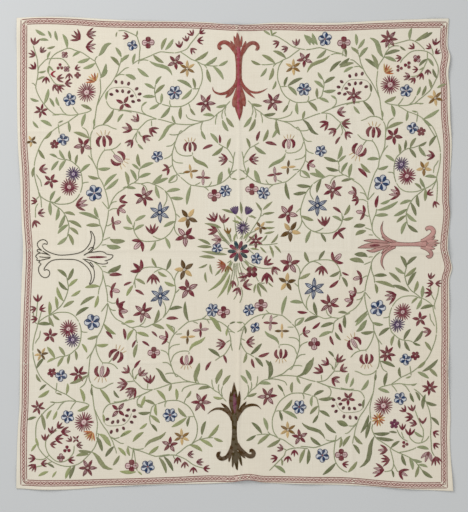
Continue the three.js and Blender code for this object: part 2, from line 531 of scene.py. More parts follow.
# Stitches: every row, petal and leaf is thread that stands a millimetre proud of the linen and goes down
# into it at both ends and along both sides. Chain rows are two strands beside each other that narrow at
# each link. Profiles run from the left side to the right, as shares of half the width and of the crest.
SUNK = 0.0004
CHAIN_LINK = 0.0045
CHAIN_ROW = columns("""
    across 1 .55 0   -.55 -1
    height 0 1   .66 1    0
""")
SATIN_LEAF = columns("""
    across 1 .74 .3 0  -.3 -.74 -1
    height 0 .8  1  .6 1   .8   0
""")
PETAL = columns("""
    across 1 .62 0 -.62 -1
    height 0 .85 1 .85  0
""")
SATIN_BAND = columns("""
    across 1 .8 0 -.8 -1
    height 0 .9 1 .9  0
""")
THIN_ROW = columns("""
    across 1 .4 -.4 -1
    height 0 1  1   0
""")
chance = np.random.default_rng(27)

# The dyes of the threads, as they look on a screen, and the record's slot that each belongs to.
DYE_ROWS = rows("""
    dye      red green blue slot
    sage     147 156   114  green
    olive    141 146   104  green
    pine     117 123   85   green
    fresh    154 162   110  green
    teal     38  64    72   green
    stem     148 156   118  green
    wine     118 42    54   wine
    claret   126 44    64   wine
    crimson  158 44    62   wine
    plum     162 62    82   wine
    violet   112 48    76   wine
    mulberry 96  44    52   wine
    rose     198 150   142  rose
    shell    224 198   186  rose
    blush    220 190   188  rose
    cream    232 222   206  rose
    brick    150 74    64   rose
    madder   136 76    72   rose
    faded    144 88    82   rose
    contour  112 62    56   rose
    indigo   36  60    100  blue
    slate    80  104   146  blue
    sky      208 212   218  blue
    gold     200 166   106  gold
    honey    206 174   120  gold
    ochre    136 100   48   gold
    umber    98  70    30   gold
    orange   196 112   58   gold
    rust     150 74    36   gold
    purple   80  54    96   purple
    lilac    196 176   196  purple
    brown    74  47    2    dark
    moss     66  50    2    dark
    ink      60  54    36   dark
""")
DYES = {row["dye"]: srgb(row["red"], row["green"], row["blue"]) for row in DYE_ROWS}
SLOT_OF_DYE = {row["dye"]: f"{row['slot']}_thread" for row in DYE_ROWS}
# The word that ends the name of each stitched piece: its thread's colour, plain red for the wine thread.
PIECE_WORDS = {slot: slot.replace("_thread", "").replace("wine", "red") for slot in SLOT_OF_DYE.values()}


class Stitches:
    """Stitch shapes gathered for one piece: each is a profile carried along a path, closed underneath."""

    def __init__(self):
        self.count = 0
        self.points = []
        self.threads = []
        self.colours = []
        self.quads = []
        self.triangles = []

    def carry(self, path, half_width, crest, dye, profile):
        """Out from the path by half_width times across, up by crest times height, to a point at each end.

        path is shapes by stations by 2 in metres, half_width and crest are shapes by stations,
        and dye is one colour for each shape."""
        shapes, stations, _ = path.shape
        step = np.gradient(path, axis=1)
        step /= np.maximum(np.linalg.norm(step, axis=2, keepdims=True), 1e-9)
        left = np.stack([-step[..., 1], step[..., 0]], axis=2)
        across = half_width[..., None] * profile["across"]
        points = path[:, :, None, :] + left[:, :, None, :] * across[..., None]
        rise = crest[..., None] * profile["height"] - SUNK
        length = np.linalg.norm(np.diff(path, axis=1), axis=2)
        along = np.concatenate([np.zeros((shapes, 1)), np.cumsum(length, axis=1)], axis=1)
        along = along + chance.uniform(0, 0.05, (shapes, 1))
        sides = len(profile["across"])
        rings = stations - 2
        inner = slice(1, stations - 1)
        ring_points = np.concatenate([points, rise[..., None]], axis=3)[:, inner]
        ring_points = ring_points.reshape(shapes, rings * sides, 3)
        ends = np.concatenate([path[:, [0, -1]], np.full((shapes, 2, 1), -SUNK)], axis=2)
        along_ring = np.broadcast_to(along[..., None], across.shape)
        ring_threads = np.stack([along_ring, across], axis=3)[:, inner].reshape(shapes, -1, 2)
        end_threads = np.stack([along[:, [0, -1]], np.zeros((shapes, 2))], axis=2)
        each = rings * sides + 2
        ring = np.arange(rings * sides).reshape(rings, sides)
        right = np.roll(ring, -1, axis=1)
        quads = np.stack([ring[:-1], right[:-1], right[1:], ring[1:]], axis=2).reshape(-1, 4)
        first = np.stack([np.full(sides, each - 2), right[0], ring[0]], axis=1)
        last = np.stack([ring[-1], right[-1], np.full(sides, each - 1)], axis=1)
        base = self.count + each * np.arange(shapes)[:, None, None]
        self.points.append(np.concatenate([ring_points, ends], axis=1).reshape(-1, 3))
        self.threads.append(np.concatenate([ring_threads, end_threads], axis=1).reshape(-1, 2))
        self.colours.append(np.repeat(np.broadcast_to(dye, (shapes, 3)), each, axis=0))
        self.quads.append((quads[None] + base).reshape(-1, 4))
        self.triangles.append((np.concatenate([first, last])[None] + base).reshape(-1, 3))
        self.count += shapes * each

    def finish(self, name, slot, material):
        """The piece, set down on the linen. Its thread lengths are a UV map and its dyes an attribute."""
        points = np.concatenate(self.points)
        points[:, 2] += cloth_top(points[:, 0], points[:, 1])
        quads, triangles = np.concatenate(self.quads), np.concatenate(self.triangles)
        corners = np.concatenate([quads.ravel(), triangles.ravel()])
        totals = np.concatenate([np.full(len(quads), 4), np.full(len(triangles), 3)])
        piece = new_object(name, points, corners, totals, material)
        threads = piece.data.uv_layers.new(name="threads")
        threads.data.foreach_set("uv", np.concatenate(self.threads)[corners].astype(np.float32).ravel())
        dyes = piece.data.color_attributes.new("dye", "FLOAT_COLOR", "POINT")
        colours = np.concatenate([np.concatenate(self.colours), np.ones((len(points), 1))], axis=1)
        dyes.data.foreach_set("color", colours.astype(np.float32).ravel())
        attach(piece, "root")
        return piece


def thread_finish(name, pitch, slant, painted_shade_strength):
    """Threads laid side by side: a wave along the row, slanted back on both sides of its middle line.

    The dye comes from the piece. Painted shade darkens it between threads, and it has faded unevenly."""
    finish = Finish(name)
    dye = finish.node("ShaderNodeAttribute", {"attribute_name": "dye"})["Color"]
    thread = finish.node("ShaderNodeUVMap", {"uv_map": "threads"})["UV"]
    axis = finish.node("ShaderNodeSeparateXYZ", None, Vector=thread)
    place = finish.node("ShaderNodeTexCoord")["Object"]
    fuzz = finish.noise(place, 900.0, 2.0)
    length = axis["X"] + axis["Y"].size() * slant + (fuzz - 0.5) * pitch * 0.5
    wave = (length * (np.pi / pitch)).sine().size()
    fade = finish.noise(place, 70.0, 3.0)
    worn = finish.mix(((fade - 0.45) * 1.6).within(0.0, 0.11), dye, solid(srgb(205, 192, 172)))
    # Painted shade: a dark brown multiplied into the dye where the wave dips between threads and links.
    dye_with_painted_shade = finish.mix((1.0 - wave) * painted_shade_strength, worn, solid(srgb(40, 30, 26)), "MULTIPLY")
    relief = wave + fuzz * 0.3
    bump = finish.node("ShaderNodeBump", None, Strength=0.6, Distance=0.0004, Height=relief)["Normal"]
    roughness = 0.62 + (1.0 - wave) * 0.2
    finish.set(finish.surface, {"Base Color": dye_with_painted_shade, "Normal": bump, "Roughness": roughness})
    finish.set(finish.surface, {"Specular IOR Level": 0.18, "Sheen Weight": 0.08})
    return finish.material


# The last number is how strongly painted shade darkens the dye between the threads.
chain_thread = thread_finish("chain_stitched_thread", CHAIN_LINK, 1.3, 0.35)
satin_thread = thread_finish("satin_stitched_thread", 0.0009, 0.7, 0.3)


def smooth_path(points, step):
    """A Catmull-Rom curve through the points, cut again into even steps of about this length.

    Columns after x and y, such as a width, follow along."""
    points = np.asarray(points, float)
    far = np.vstack([2 * points[0] - points[1], points, 2 * points[-1] - points[-2]])
    t = np.linspace(0, 1, 12, endpoint=False)[None, :, None]
    a, b, c, d = far[:-3, None], far[1:-2, None], far[2:-1, None], far[3:, None]
    curve = b + 0.5 * ((c - a) * t + (2 * a - 5 * b + 4 * c - d) * t**2 + (3 * b - a - 3 * c + d) * t**3)
    curve = np.vstack([curve.reshape(-1, points.shape[1]), points[-1:]])
    length = np.concatenate([[0], np.cumsum(np.linalg.norm(np.diff(curve[:, :2], axis=0), axis=1))])
    stations = np.linspace(0, length[-1], max(5, round(length[-1] / step) + 1))
    return np.stack([np.interp(stations, length, column) for column in curve.T], axis=1)


def chain_row(work, path, width, dye):
    """One row of chain stitch along a path in metres. It narrows and dips at the end of every link."""
    path = smooth_path(path, CHAIN_LINK / 3)
    index = np.arange(len(path))
    swell = np.abs(np.sin(index * np.pi / 3))
    taper = np.clip(np.minimum(index, index[::-1]) / 3, 0, 1)
    half_width = width / 2 * (0.78 + 0.25 * swell) * (0.35 + 0.65 * taper)
    crest = (0.0007 + 0.0004 * swell) * (0.3 + 0.7 * taper)
    work.carry(path[None], half_width[None], crest[None] + SUNK, dye, CHAIN_ROW)


# The border band: a laid ground of pale rose thread between two single rows of chain stitch, with two
# waving rows plaited over it in faded madder thread. It runs inside the hem and follows the drawn-in
# edges, so its distance from them, the inset in millimetres, varies along each side.
BAND_LEFT = columns("""
    along 0    .02  .09 .16  .23  .31  .38 .456 .508 .6   .68  .75 .82  .9   .985 1
    inset 21.9 21.9 19.2 16.5 16.5 17.4 19 20.4 18.3 16.5 17.7 18  18.5 20.5 21.6 21.6
""")
BAND_RIGHT = columns("""
    along 0  .023 .087 .161 .234 .308 .382 .456 .53  .603 .677 .751 .825 .899 .972 1
    inset 25 24.5 18.5 18.6 12.3 14   14.4 13.5 12.3 10.5 12.6 16.2 17.7 15.9 13.2 13
""")
BAND_NEAR = columns("""
    along 0  .04  .12  .2 .281 .361 .44  .521 .602 .682 .762 .842 .923 .971 1
    inset 19 19.5 19.5 15 11.7 12.6 15.3 9    12.9 13   14.1 10.5 13.2 16.2 18
""")
BAND_FAR = columns("""
    along 0    .04  .12  .2   .281 .361 .44 .512 .602 .682 .762 .842 .923 .98 1
    inset 14.8 12.8 13.5 15.3 12   11.1 12  9.5  13.5 15.6 14.7 15.6 16.5 18  18
""")
BANDS = {"left": BAND_LEFT, "right": BAND_RIGHT, "near": BAND_NEAR, "far": BAND_FAR}
BAND_HALF = {"left": 8.7, "right": 8.2, "near": 8.0, "far": 7.8}
BAND_ROW = 0.0030
BAND_GROUND = {"half": 0.0066, "height": 0.0007}
PLAIT = {"wave": 21.0, "reach": 3.4, "row": 0.0026}
BAND_STEP = 0.012


def band_line(side, beside):
    """Points along one side of the band: its middle line, moved out from the cloth's middle by beside."""
    share = np.linspace(0, 1, 240)
    edges = dict(zip(("left", "right", "near", "far"), edges_at(share, share)))
    inward = 1 if side in ("left", "near") else -1
    across = edges[side] + inward * (smooth_through(BANDS[side], "inset", share) - beside) / 1000
    upright = side in ("left", "right")
    size = LENGTH if upright else WIDTH
    along = size * (share - 0.5)
    return np.stack([across, along] if upright else [along, across], axis=1)


def band_path(side, beside, wave=0.0, phase=0.0):
    """One row of the band on one side, cut off where the same row of the next side crosses it."""
    line = band_line(side, beside)
    upright = 1 if side in ("left", "right") else 0
    limits = []
    for neighbour, end in zip(("near", "far") if upright else ("left", "right"), (0, -1)):
        other = band_line(neighbour, beside)
        limits.append(np.interp(line[end, 1 - upright], other[:, 1 - upright], other[:, upright]))
    count = int((limits[1] - limits[0]) / (BAND_STEP if wave == 0 else 0.0025))
    along = np.linspace(limits[0], limits[1], count)
    across = np.interp(along, line[:, upright], line[:, 1 - upright])
    uneven = 1 + 0.25 * np.sin(along * 31 + phase)
    across = across + wave * uneven * np.sin(along * 2000 * np.pi / PLAIT["wave"] + phase) / 1000
    return np.stack([across, along] if upright else [along, across], axis=1)


band_rows = Stitches()
band_plait = Stitches()
band_ground = Stitches()
for side, half_band in BAND_HALF.items():
    for beside in (half_band, -half_band):
        chain_row(band_rows, band_path(side, beside), BAND_ROW, DYES["madder"])
    for phase in (0.0, np.pi):
        chain_row(band_plait, band_path(side, 0.0, PLAIT["reach"], phase), PLAIT["row"], DYES["faded"])
    middle = band_path(side, 0.0)[None]
    half_width = np.full(middle.shape[:2], BAND_GROUND["half"])
    height = np.full(middle.shape[:2], BAND_GROUND["height"])
    band_ground.carry(middle, half_width, height, DYES["shell"], SATIN_BAND)
stitched = [
    band_rows.finish("border_rows", "rose_thread", chain_thread),
    band_plait.finish("border_plait", "rose_thread", chain_thread),
    band_ground.finish("border_ground", "rose_thread", satin_thread),
]

# The stems: single rows of chain stitch in stem green. One quarter of the field is drawn, and the worker
# repeated it mirrored in the other three. Points are millimetres out from the pattern's two middle lines.
QUARTERS = {"far_left": (-1, 1), "far_right": (1, 1), "near_left": (-1, -1), "near_right": (1, -1)}
MIDDLE_LINES = {"x": 7.0, "x_by_y": 0.0123, "y": 9.0, "y_by_x": 0.036}
STEM_ROW = 0.0038
STEMS = """
430,18 415,30 404,48 405,74 413,96 416,114
404,51 398,76 393,95 389,116 387,138
387,138 389,160 394,184 400,203 407,221 417,239 420,258 429,279 436,298 438,321 439,345 437,364 431,377
431,377 429,386 424,419 420,447 413,475 410,494 412,519 414,532
434,437 446,431 458,428 474,425 493,423 507,424 523,427 537,427 554,425
474,425 483,435 492,449
507,424 519,433 527,445 531,451
474,424 490,414 504,404 518,398 530,392 541,386 555,375 574,359 585,344 594,325 600,308 605,292 608,274
608,274 608,251 604,227 598,205 595,191 585,180 569,170 555,166 539,160 520,159 501,162 484,173 472,190
472,190 466,210 465,229 467,247 473,265 484,276 496,286 510,291 526,293 540,298
562,168 546,155 529,142 517,126 509,108 505,90 508,71 510,59
466,216 459,221 445,222
603,252 596,240 590,231 587,212
387,138 396,149 407,163
387,138 382,153 374,170 361,186 342,198 329,207 313,215 290,212 271,215 254,209 238,202 221,191
221,191 210,178 200,162 193,143 187,123 185,103 189,85 188,71 182,59 173,51
420,258 419,274 414,290 407,304 398,315 381,317 365,323 351,337
398,315 399,322
381,317 374,310 368,301
395,90 387,90 375,97
385,148 375,159 361,162
386,134 374,140 358,140
439,340 443,357 450,376 464,387
431,377 422,386 408,391 392,390 377,382 363,377
420,258 431,282 447,303
420,447 409,472 393,500 381,516 372,532 364,550 360,566 355,583 354,593
369,536 358,545 342,559 330,562
371,533 358,541 342,540
322,570 306,581 287,587 271,593 257,599 243,604 234,605 215,602 196,600
306,580 287,583 272,580
180,603 163,591 147,579 130,572 116,564 102,560 83,557 64,557
110,562 102,555 99,549
130,572 118,555 113,534 114,511 121,492 127,476 138,460 152,449 168,441 182,439 203,440 218,444 232,448
232,448 246,455 251,471 254,490 251,509
330,432 306,427 282,419 258,410
98,196 74,198 52,205 34,217 20,231 8,243
535,400 531,368
203,440 208,449 208,460
122,491 131,490 143,491
152,449 148,439 146,432
26,451 38,438 49,424 60,417 73,406 86,397 104,393 128,386 151,384 175,386 193,389 212,395 231,401 245,404
245,404 262,411 278,418 290,430 291,444 286,452 276,456
38,438 42,419 38,403
47,424 51,410 49,396
64,413 69,397 70,380
159,416 153,404 137,397 116,393 102,394
108,392 113,377 112,363
189,389 195,399 197,411
128,386 149,378 166,365 174,366 182,352 188,337 194,317 198,301 198,282 196,263 186,242 173,228
173,228 156,213 142,203 126,200 104,196 90,196 82,204 79,212
166,365 181,356 198,355 209,358
262,402 261,382
245,404 259,404 276,399 292,384 301,375 305,365 306,359 308,345 302,333
363,432 349,433 332,430 320,426
394,465 390,453 380,441 366,437 341,434 317,430
333,376 317,376 301,375
306,366 314,352 318,344
302,369 294,357 284,349
188,337 200,324 218,321
191,322 184,303 170,293 152,290 137,292
137,292 138,302
197,303 206,291 224,283
198,285 192,276 181,271 164,269
197,265 206,258 213,254
185,238 183,223 190,215 208,211
180,239 159,238
129,203 121,205 112,210
104,196 95,191 87,183
10,299 14,280 16,259 21,241 25,227 20,217
14,274 21,290 33,307 45,314 61,324
30,272 16,264
21,239 11,240 2,245
313,215 299,227 298,246 293,262
346,200 334,206
219,189 213,175 214,158 223,140
292,212 278,203 271,187
187,120 172,106
189,83 201,62 217,48 227,44 241,47 255,55
217,48 238,40 269,38 288,42 299,51 308,66 311,80 308,100
308,66 315,90
403,46 394,50 380,55
408,32 392,33
"""
# The four outer corners were each worked in their own way, so each has rows and leaves of its own.
CORNER_STEMS = {
    "far_left": """
414,532 417,547 424,564 433,584 430,595 424,599
433,584 449,595 472,611 493,619 512,626 533,620 552,611 564,599 570,586 571,577
604,560 601,573 593,582 579,595 561,597 536,596 523,588 513,575 507,565
537,427 552,430 569,443 582,458 595,476 606,498 610,514 607,533 604,552 605,580 607,597 615,624 620,639
623,526 616,523 611,516
573,556 566,542 555,525 544,518 526,517
196,600 180,603 159,611 147,627 136,640 121,659
596,198 596,185 603,178 609,160
304,570 301,582 300,604 299,623 305,644 310,655 330,666 349,673 366,673
596,198 591,180 588,150
598,165 606,150 606,120
""",
    "far_right": """
414,532 421,547 433,565 438,577 447,590 456,596 466,598 480,597
447,590 449,602 468,605 490,610 508,614 522,611 534,604 546,593 556,582
482,545 487,555 498,566 510,576 524,581 546,581 562,577 576,568 582,560 \
591,543 596,527 595,505 589,491 575,464 558,448 540,434 526,422
563,576 563,554 558,541 549,522 535,507 514,504
575,590 579,578 581,566
197,596 163,605 137,623 111,639 92,643
163,605 172,612 170,618
596,198 592,184 580,160
308,572 311,595
548,380 565,360 578,340 590,320
596,198 598,170 596,125
""",
    "near_left": """
414,532 409,537 421,575 451,609 472,623 502,628 536,618 567,596 588,569 \
597,535 594,492 575,465 556,448 540,437
481,565 485,590 506,611 532,612 556,592 567,566 565,545 550,528 533,518
556,592 574,604 600,602
548,612 575,622 600,627
228,610 185,605 151,617 121,638 86,650
185,605 180,616 172,622
596,198 606,188 609,160
304,578 306,600 309,618
304,578 300,600 297,622 294,640 291,650
596,198 590,180 584,156
600,178 598,150 596,125
""",
    "near_right": """
414,532 411,550 424,576 439,587 459,601 476,614 491,622 519,635 539,648 552,664 565,680
491,622 515,619 536,613 545,608
583,575 574,588 559,595 544,595 533,588 525,579 524,570
559,595 565,577 564,555 559,546 548,520 539,496
534,432 552,446 568,466 583,502 588,541 587,569 589,595 591,620 600,638
465,607 471,627 477,655 470,674 448,678
477,655 488,677 493,679
485,551 493,568 504,581 520,590
499,559 504,574 509,581
221,601 187,597 156,603 148,619 127,640 104,663
156,603 146,598 138,597
596,198 594,180 603,150 606,125
304,562 300,590 298,615 302,640 312,658 326,670 340,676
594,170 584,150 581,125
""",
}

# How far the work of a quarter wandered from the plan: near a, b it lies further out by da and db.
WANDER_REACH = 80.0
WANDERED = {
    "far_left": rows("""
        a   b   da  db
        500 400 8   2
        450 300 4   1
        570 300 5   1
        450 488 6   2
        588 440 6   2
        159 549 -3  1
    """),
    "far_right": rows("""
        a   b   da  db
        450 488 2   -5
        500 469 1   -10
        588 440 -1  0
        159 549 3   -2
        195 572 0   -6
        519 350 6   -1
        430 191 3   -3
        360 294 6   2
        463 331 -1  -3
        580 266 -3  -1
        144 318 5   -3
        243 291 3   0
        280 172 4   2
        255 75  6   7
        301 33  1   4
        71  170 5   0
    """),
    "near_left": rows("""
        a   b   da  db
        450 488 1   9
        500 469 4   9
        588 440 2   7
        439 521 3   13
        347 458 4   6
        194 481 3   2
        195 572 -3  3
        144 248 2   3
        106 226 1   6
        144 318 5   4
        243 291 3   6
        255 75  -4  4
        301 33  -6  -2
        504 208 1   8
        489 245 -1  4
        430 191 -1  6
        560 229 -1  4
        360 294 1   5
        546 338 6   6
    """),
    "near_right": rows("""
        a   b   da  db
        450 488 -6  -11
        500 469 -6  -8
        588 440 -9  -8
        345 460 -6  -5
        100 446 -3  -5
        194 481 -3  -7
        159 549 0   -6
        195 572 0   -8
        504 208 -6  -7
        489 245 -6  -8
        560 229 -8  -5
        580 266 -7  -2
        430 191 -4  -2
        360 294 -7  -4
        400 342 -9  -4
        463 331 -10 -7
        519 350 -9  -5
        144 318 -10 -6
        144 248 -7  -4
        243 291 -7  -3
        71  170 3   -4
        234 124 -2  -3
        158 50  2   -7
    """),
}


def placed(points, quarter, wander=True):
    """Template millimetres mirrored into a quarter, out from two middle lines that lie a little askew.

    Each row of the wander table pulls by its own Gaussian weight, and where the weights add up to more
    than one they are shared out."""
    side, end = QUARTERS[quarter]
    a, b = points[..., 0], points[..., 1]
    total, da, db = np.zeros_like(a), np.zeros_like(a), np.zeros_like(a)
    for pull in WANDERED[quarter] if wander else ():
        weight = np.exp(-((a - pull["a"]) ** 2 + (b - pull["b"]) ** 2) / WANDER_REACH**2)
        total, da, db = total + weight, da + pull["da"] * weight, db + pull["db"] * weight
    share = 1 / np.maximum(total, 1)
    across, up = side * (a + da * share), end * (b + db * share)
    x, y = across, up
    for _ in range(3):
        x = across + MIDDLE_LINES["x"] + MIDDLE_LINES["x_by_y"] * y
        y = up + MIDDLE_LINES["y"] + MIDDLE_LINES["y_by_x"] * x
    return np.stack([x, y], axis=-1) / 1000


def routes(text):
    """Rows of points, each point two numbers joined by a comma."""
    lines = (line.split() for line in text.strip().splitlines())
    return [np.array([point.split(",") for point in line], float) for line in lines]


for quarter in QUARTERS:
    stems = Stitches()
    for text, wander in ((STEMS, True), (CORNER_STEMS[quarter], False)):
        for route in routes(text):
            stem_green = DYES["stem"] * chance.uniform(0.92, 1.1)
            chain_row(stems, placed(route, quarter, wander), STEM_ROW, stem_green)
    stitched.append(stems.finish(f"stems_{quarter}", "green_thread", chain_thread))

# The leaves: satin stitch in four greens, and here and there in wine, slanted to both sides of a sunk
# midrib. Each row of the tables holds leaves as stalk end and tip. Some are the same in every quarter and
# some are a quarter's own. The long ones swing like an S.
LEAVES = """
411,546>397,576 410,533>395,556
593,469>620,479 579,458>569,501 531,451>541,479 547,449>560,475 433,436>467,451
551,425>537,428 589,411>556,391 503,404>501,375 465,395>454,425
438,415>429,389 406,404>373,437 362,398>345,421 392,465>390,490
366,567>385,595 354,594>373,621 354,573>336,598 342,540>315,525
544,408>518,406
346,582>334,599 317,570>314,600 259,593>231,575 306,560>275,533
135,579>100,597 104,563>70,584 64,557>36,570 98,550>88,512 82,546>51,518
251,507>235,530 259,494>284,511 246,482>226,504 253,471>286,471 231,459>232,481 239,447>267,435
208,432>232,410 172,438>175,405 147,436>132,413 154,495>187,516 135,492>142,519 145,487>171,461
38,441>66,434 37,403>16,373 48,396>31,362 73,407>107,409 111,365>98,339
188,390>197,411 343,540>309,526 290,444>276,456
444,352>488,370 418,260>384,262 417,232>445,240 398,207>366,240 389,200>363,228
590,323>575,298 586,361>555,377 538,296>561,307 512,298>529,320 492,292>500,315
476,281>477,305 543,287>564,265 513,284>530,262 467,252>440,273 560,177>548,198 548,173>531,183
563,167>561,130 541,147>544,114 524,124>536,88 514,97>536,72 510,62>537,39 504,70>492,36
503,88>478,68 503,112>471,90 515,137>487,125 429,107>474,131 415,113>427,148 414,89>449,92
380,55>339,43 392,33>355,27
330,205>336,244 311,227>324,252 298,253>317,271 290,270>302,302 284,252>256,271 292,230>262,241
338,201>308,197 255,218>230,237 249,214>212,223 247,204>235,166 210,190>176,191 198,172>164,163
190,96>220,79 215,47>202,15 244,38>260,13 317,90>331,120 308,101>278,114 301,75>280,88 323,75>344,84
302,333>285,315 187,235>208,211 142,201>152,147 66,326>85,353 30,309>24,335
50,307>80,289 20,217>3,212 25,229>27,250 291,361>300,370
"""
LONG_LEAVES = """
271,580>209,534 189,387>235,342 137,292>93,252
"""
CORNER_LEAVES = {
    "far_left": """
582,667>612,684 566,657>574,681 546,649>553,677 521,638>531,666 573,651>602,653 553,634>579,628
501,600>476,614 454,587>481,583 444,573>468,565 570,576>557,562 571,573>573,553 575,596>569,618
603,558>582,562 602,534>585,543 371,654>366,669 310,656>308,671 610,275>616,244 618,412>602,391
234,610>220,646 224,610>200,641 538,290>558,264
""",
    "far_right": """
511,618>514,646 531,619>561,636 549,615>576,633 480,597>500,583 435,571>477,581 443,561>468,550
561,555>541,538 557,532>538,524 564,557>582,533 580,526>593,499 568,496>577,467 234,608>220,642
224,608>200,637 92,640>74,655 96,640>92,660 94,638>110,652 212,608>192,640 88,362>73,326
113,390>122,346 350,603>347,636 330,567>300,547 344,551>302,540 402,531>376,562 560,384>598,402
398,219>368,248 458,138>430,127 592,205>563,203 110,506>100,482 82,546>64,520
""",
    "near_left": """
596,537>589,562 600,560>610,578 560,619>540,631 557,641>585,655 533,641>546,659 489,636>508,664
475,638>489,664 436,580>467,583 440,592>473,597 228,612>207,655 212,614>187,651 497,118>470,102
520,151>487,135 469,147>429,124 482,178>447,156 592,208>558,201 463,261>447,288 209,69>236,52
345,600>363,627 351,576>327,602 345,648>300,653 287,524>265,506 271,424>284,455 291,650>278,661
598,347>583,372 588,397>568,380
""",
    "near_right": """
424,557>463,561 462,559>486,564 426,571>471,581 471,602>493,589 559,576>540,561 545,608>579,613
501,630>514,661 523,641>533,675 533,640>562,652 551,661>580,670 549,666>543,697 560,676>592,701
470,672>478,696 586,520>608,542 212,609>197,641 232,610>218,644 492,113>457,84 518,141>472,122
590,188>553,195 558,382>602,350 578,372>601,396 297,253>314,278 248,453>289,451 127,655>150,671
139,627>143,648 376,432>397,402 376,560>400,508 347,566>326,598 300,648>266,679 340,676>366,646
208,380>232,328 575,470>604,482 333,411>338,380 342,421>353,393
""",
}
CORNER_LONG_LEAVES = {
    "far_left": "424,599>385,634",
    "far_right": "431,564>392,619",
    "near_left": "428,586>368,637",
    "near_right": "423,567>376,654",
}
BROAD_LEAVES = {
    "far_left": "63,199>50,238 383,51>340,43 393,33>354,23",
    "far_right": "70,200>50,237 384,64>350,58 387,47>359,34",
    "near_left": "83,194>48,240 118,393>108,335 57,398>42,354 400,534>373,570 388,50>352,31",
    "near_right": "97,388>104,334 392,220>361,252 392,33>355,23 381,51>340,38",
}
WINE_LEAVES = {
    "far_left": "76,320>108,308 56,324>58,351",
    "far_right": """
55,327>65,358 80,322>116,312 291,309>306,332 285,121>311,102 359,235>388,205 415,114>422,152
""",
    "near_left": """
339,92>314,82 305,106>277,123 210,196>173,197 254,232>236,250 282,261>259,277 311,279>299,256
338,220>333,255 304,341>285,317 90,356>73,328 38,310>28,337 383,59>343,60 391,227>370,251
""",
    "near_right": """
277,120>306,98 315,75>337,85 182,188>214,192 228,242>252,222 310,226>319,259 282,264>294,294
67,319>101,308 48,324>57,354
""",
}
LEAF_REACH = 15.0
CLEAR_OF_OTHERS = 14.0
LEAF_WIDTH = {"share": 0.31, "least": 4.6, "most": 12.5}
WINE_LEAF_WIDTH = {"share": 0.32, "least": 7.0, "most": 13.0}
LEAF_GREENS = {
    "far_left": ("sage", "sage", "olive", "sage"),
    "far_right": ("sage", "pine", "olive", "sage"),
    "near_left": ("olive", "fresh", "pine", "fresh"),
    "near_right": ("pine", "sage", "pine", "olive"),
}


def petal_form(base, tip, width, blunt, bow, swing=0.0):
    """Middle line and width of each petal at nine stations: width times share**p * (1 - share)**q.

    The middle line runs from base to tip. It is pushed to its left by bow and swings like an S by swing,
    both as shares of the petal's length."""
    base, tip = np.broadcast_arrays(np.atleast_2d(base).astype(float), np.atleast_2d(tip).astype(float))
    share = 0.5 - 0.5 * np.cos(np.linspace(0, np.pi, 9))
    span = tip - base
    side = np.stack([-span[:, 1], span[:, 0]], axis=1)
    push = np.broadcast_to(np.reshape(bow, (-1, 1)), (len(base), 1)) * 4 * share * (1 - share)
    push = push + swing * np.sin(2 * np.pi * share)
    middle = base[:, None] + span[:, None] * share[:, None] + side[:, None] * push[..., None]
    p, q = blunt
    peak = (p / (p + q)) ** p * (q / (p + q)) ** q
    width = np.broadcast_to(np.reshape(width, (-1, 1)), (len(base), 1))
    return middle, width * share**p * (1 - share) ** q / peak


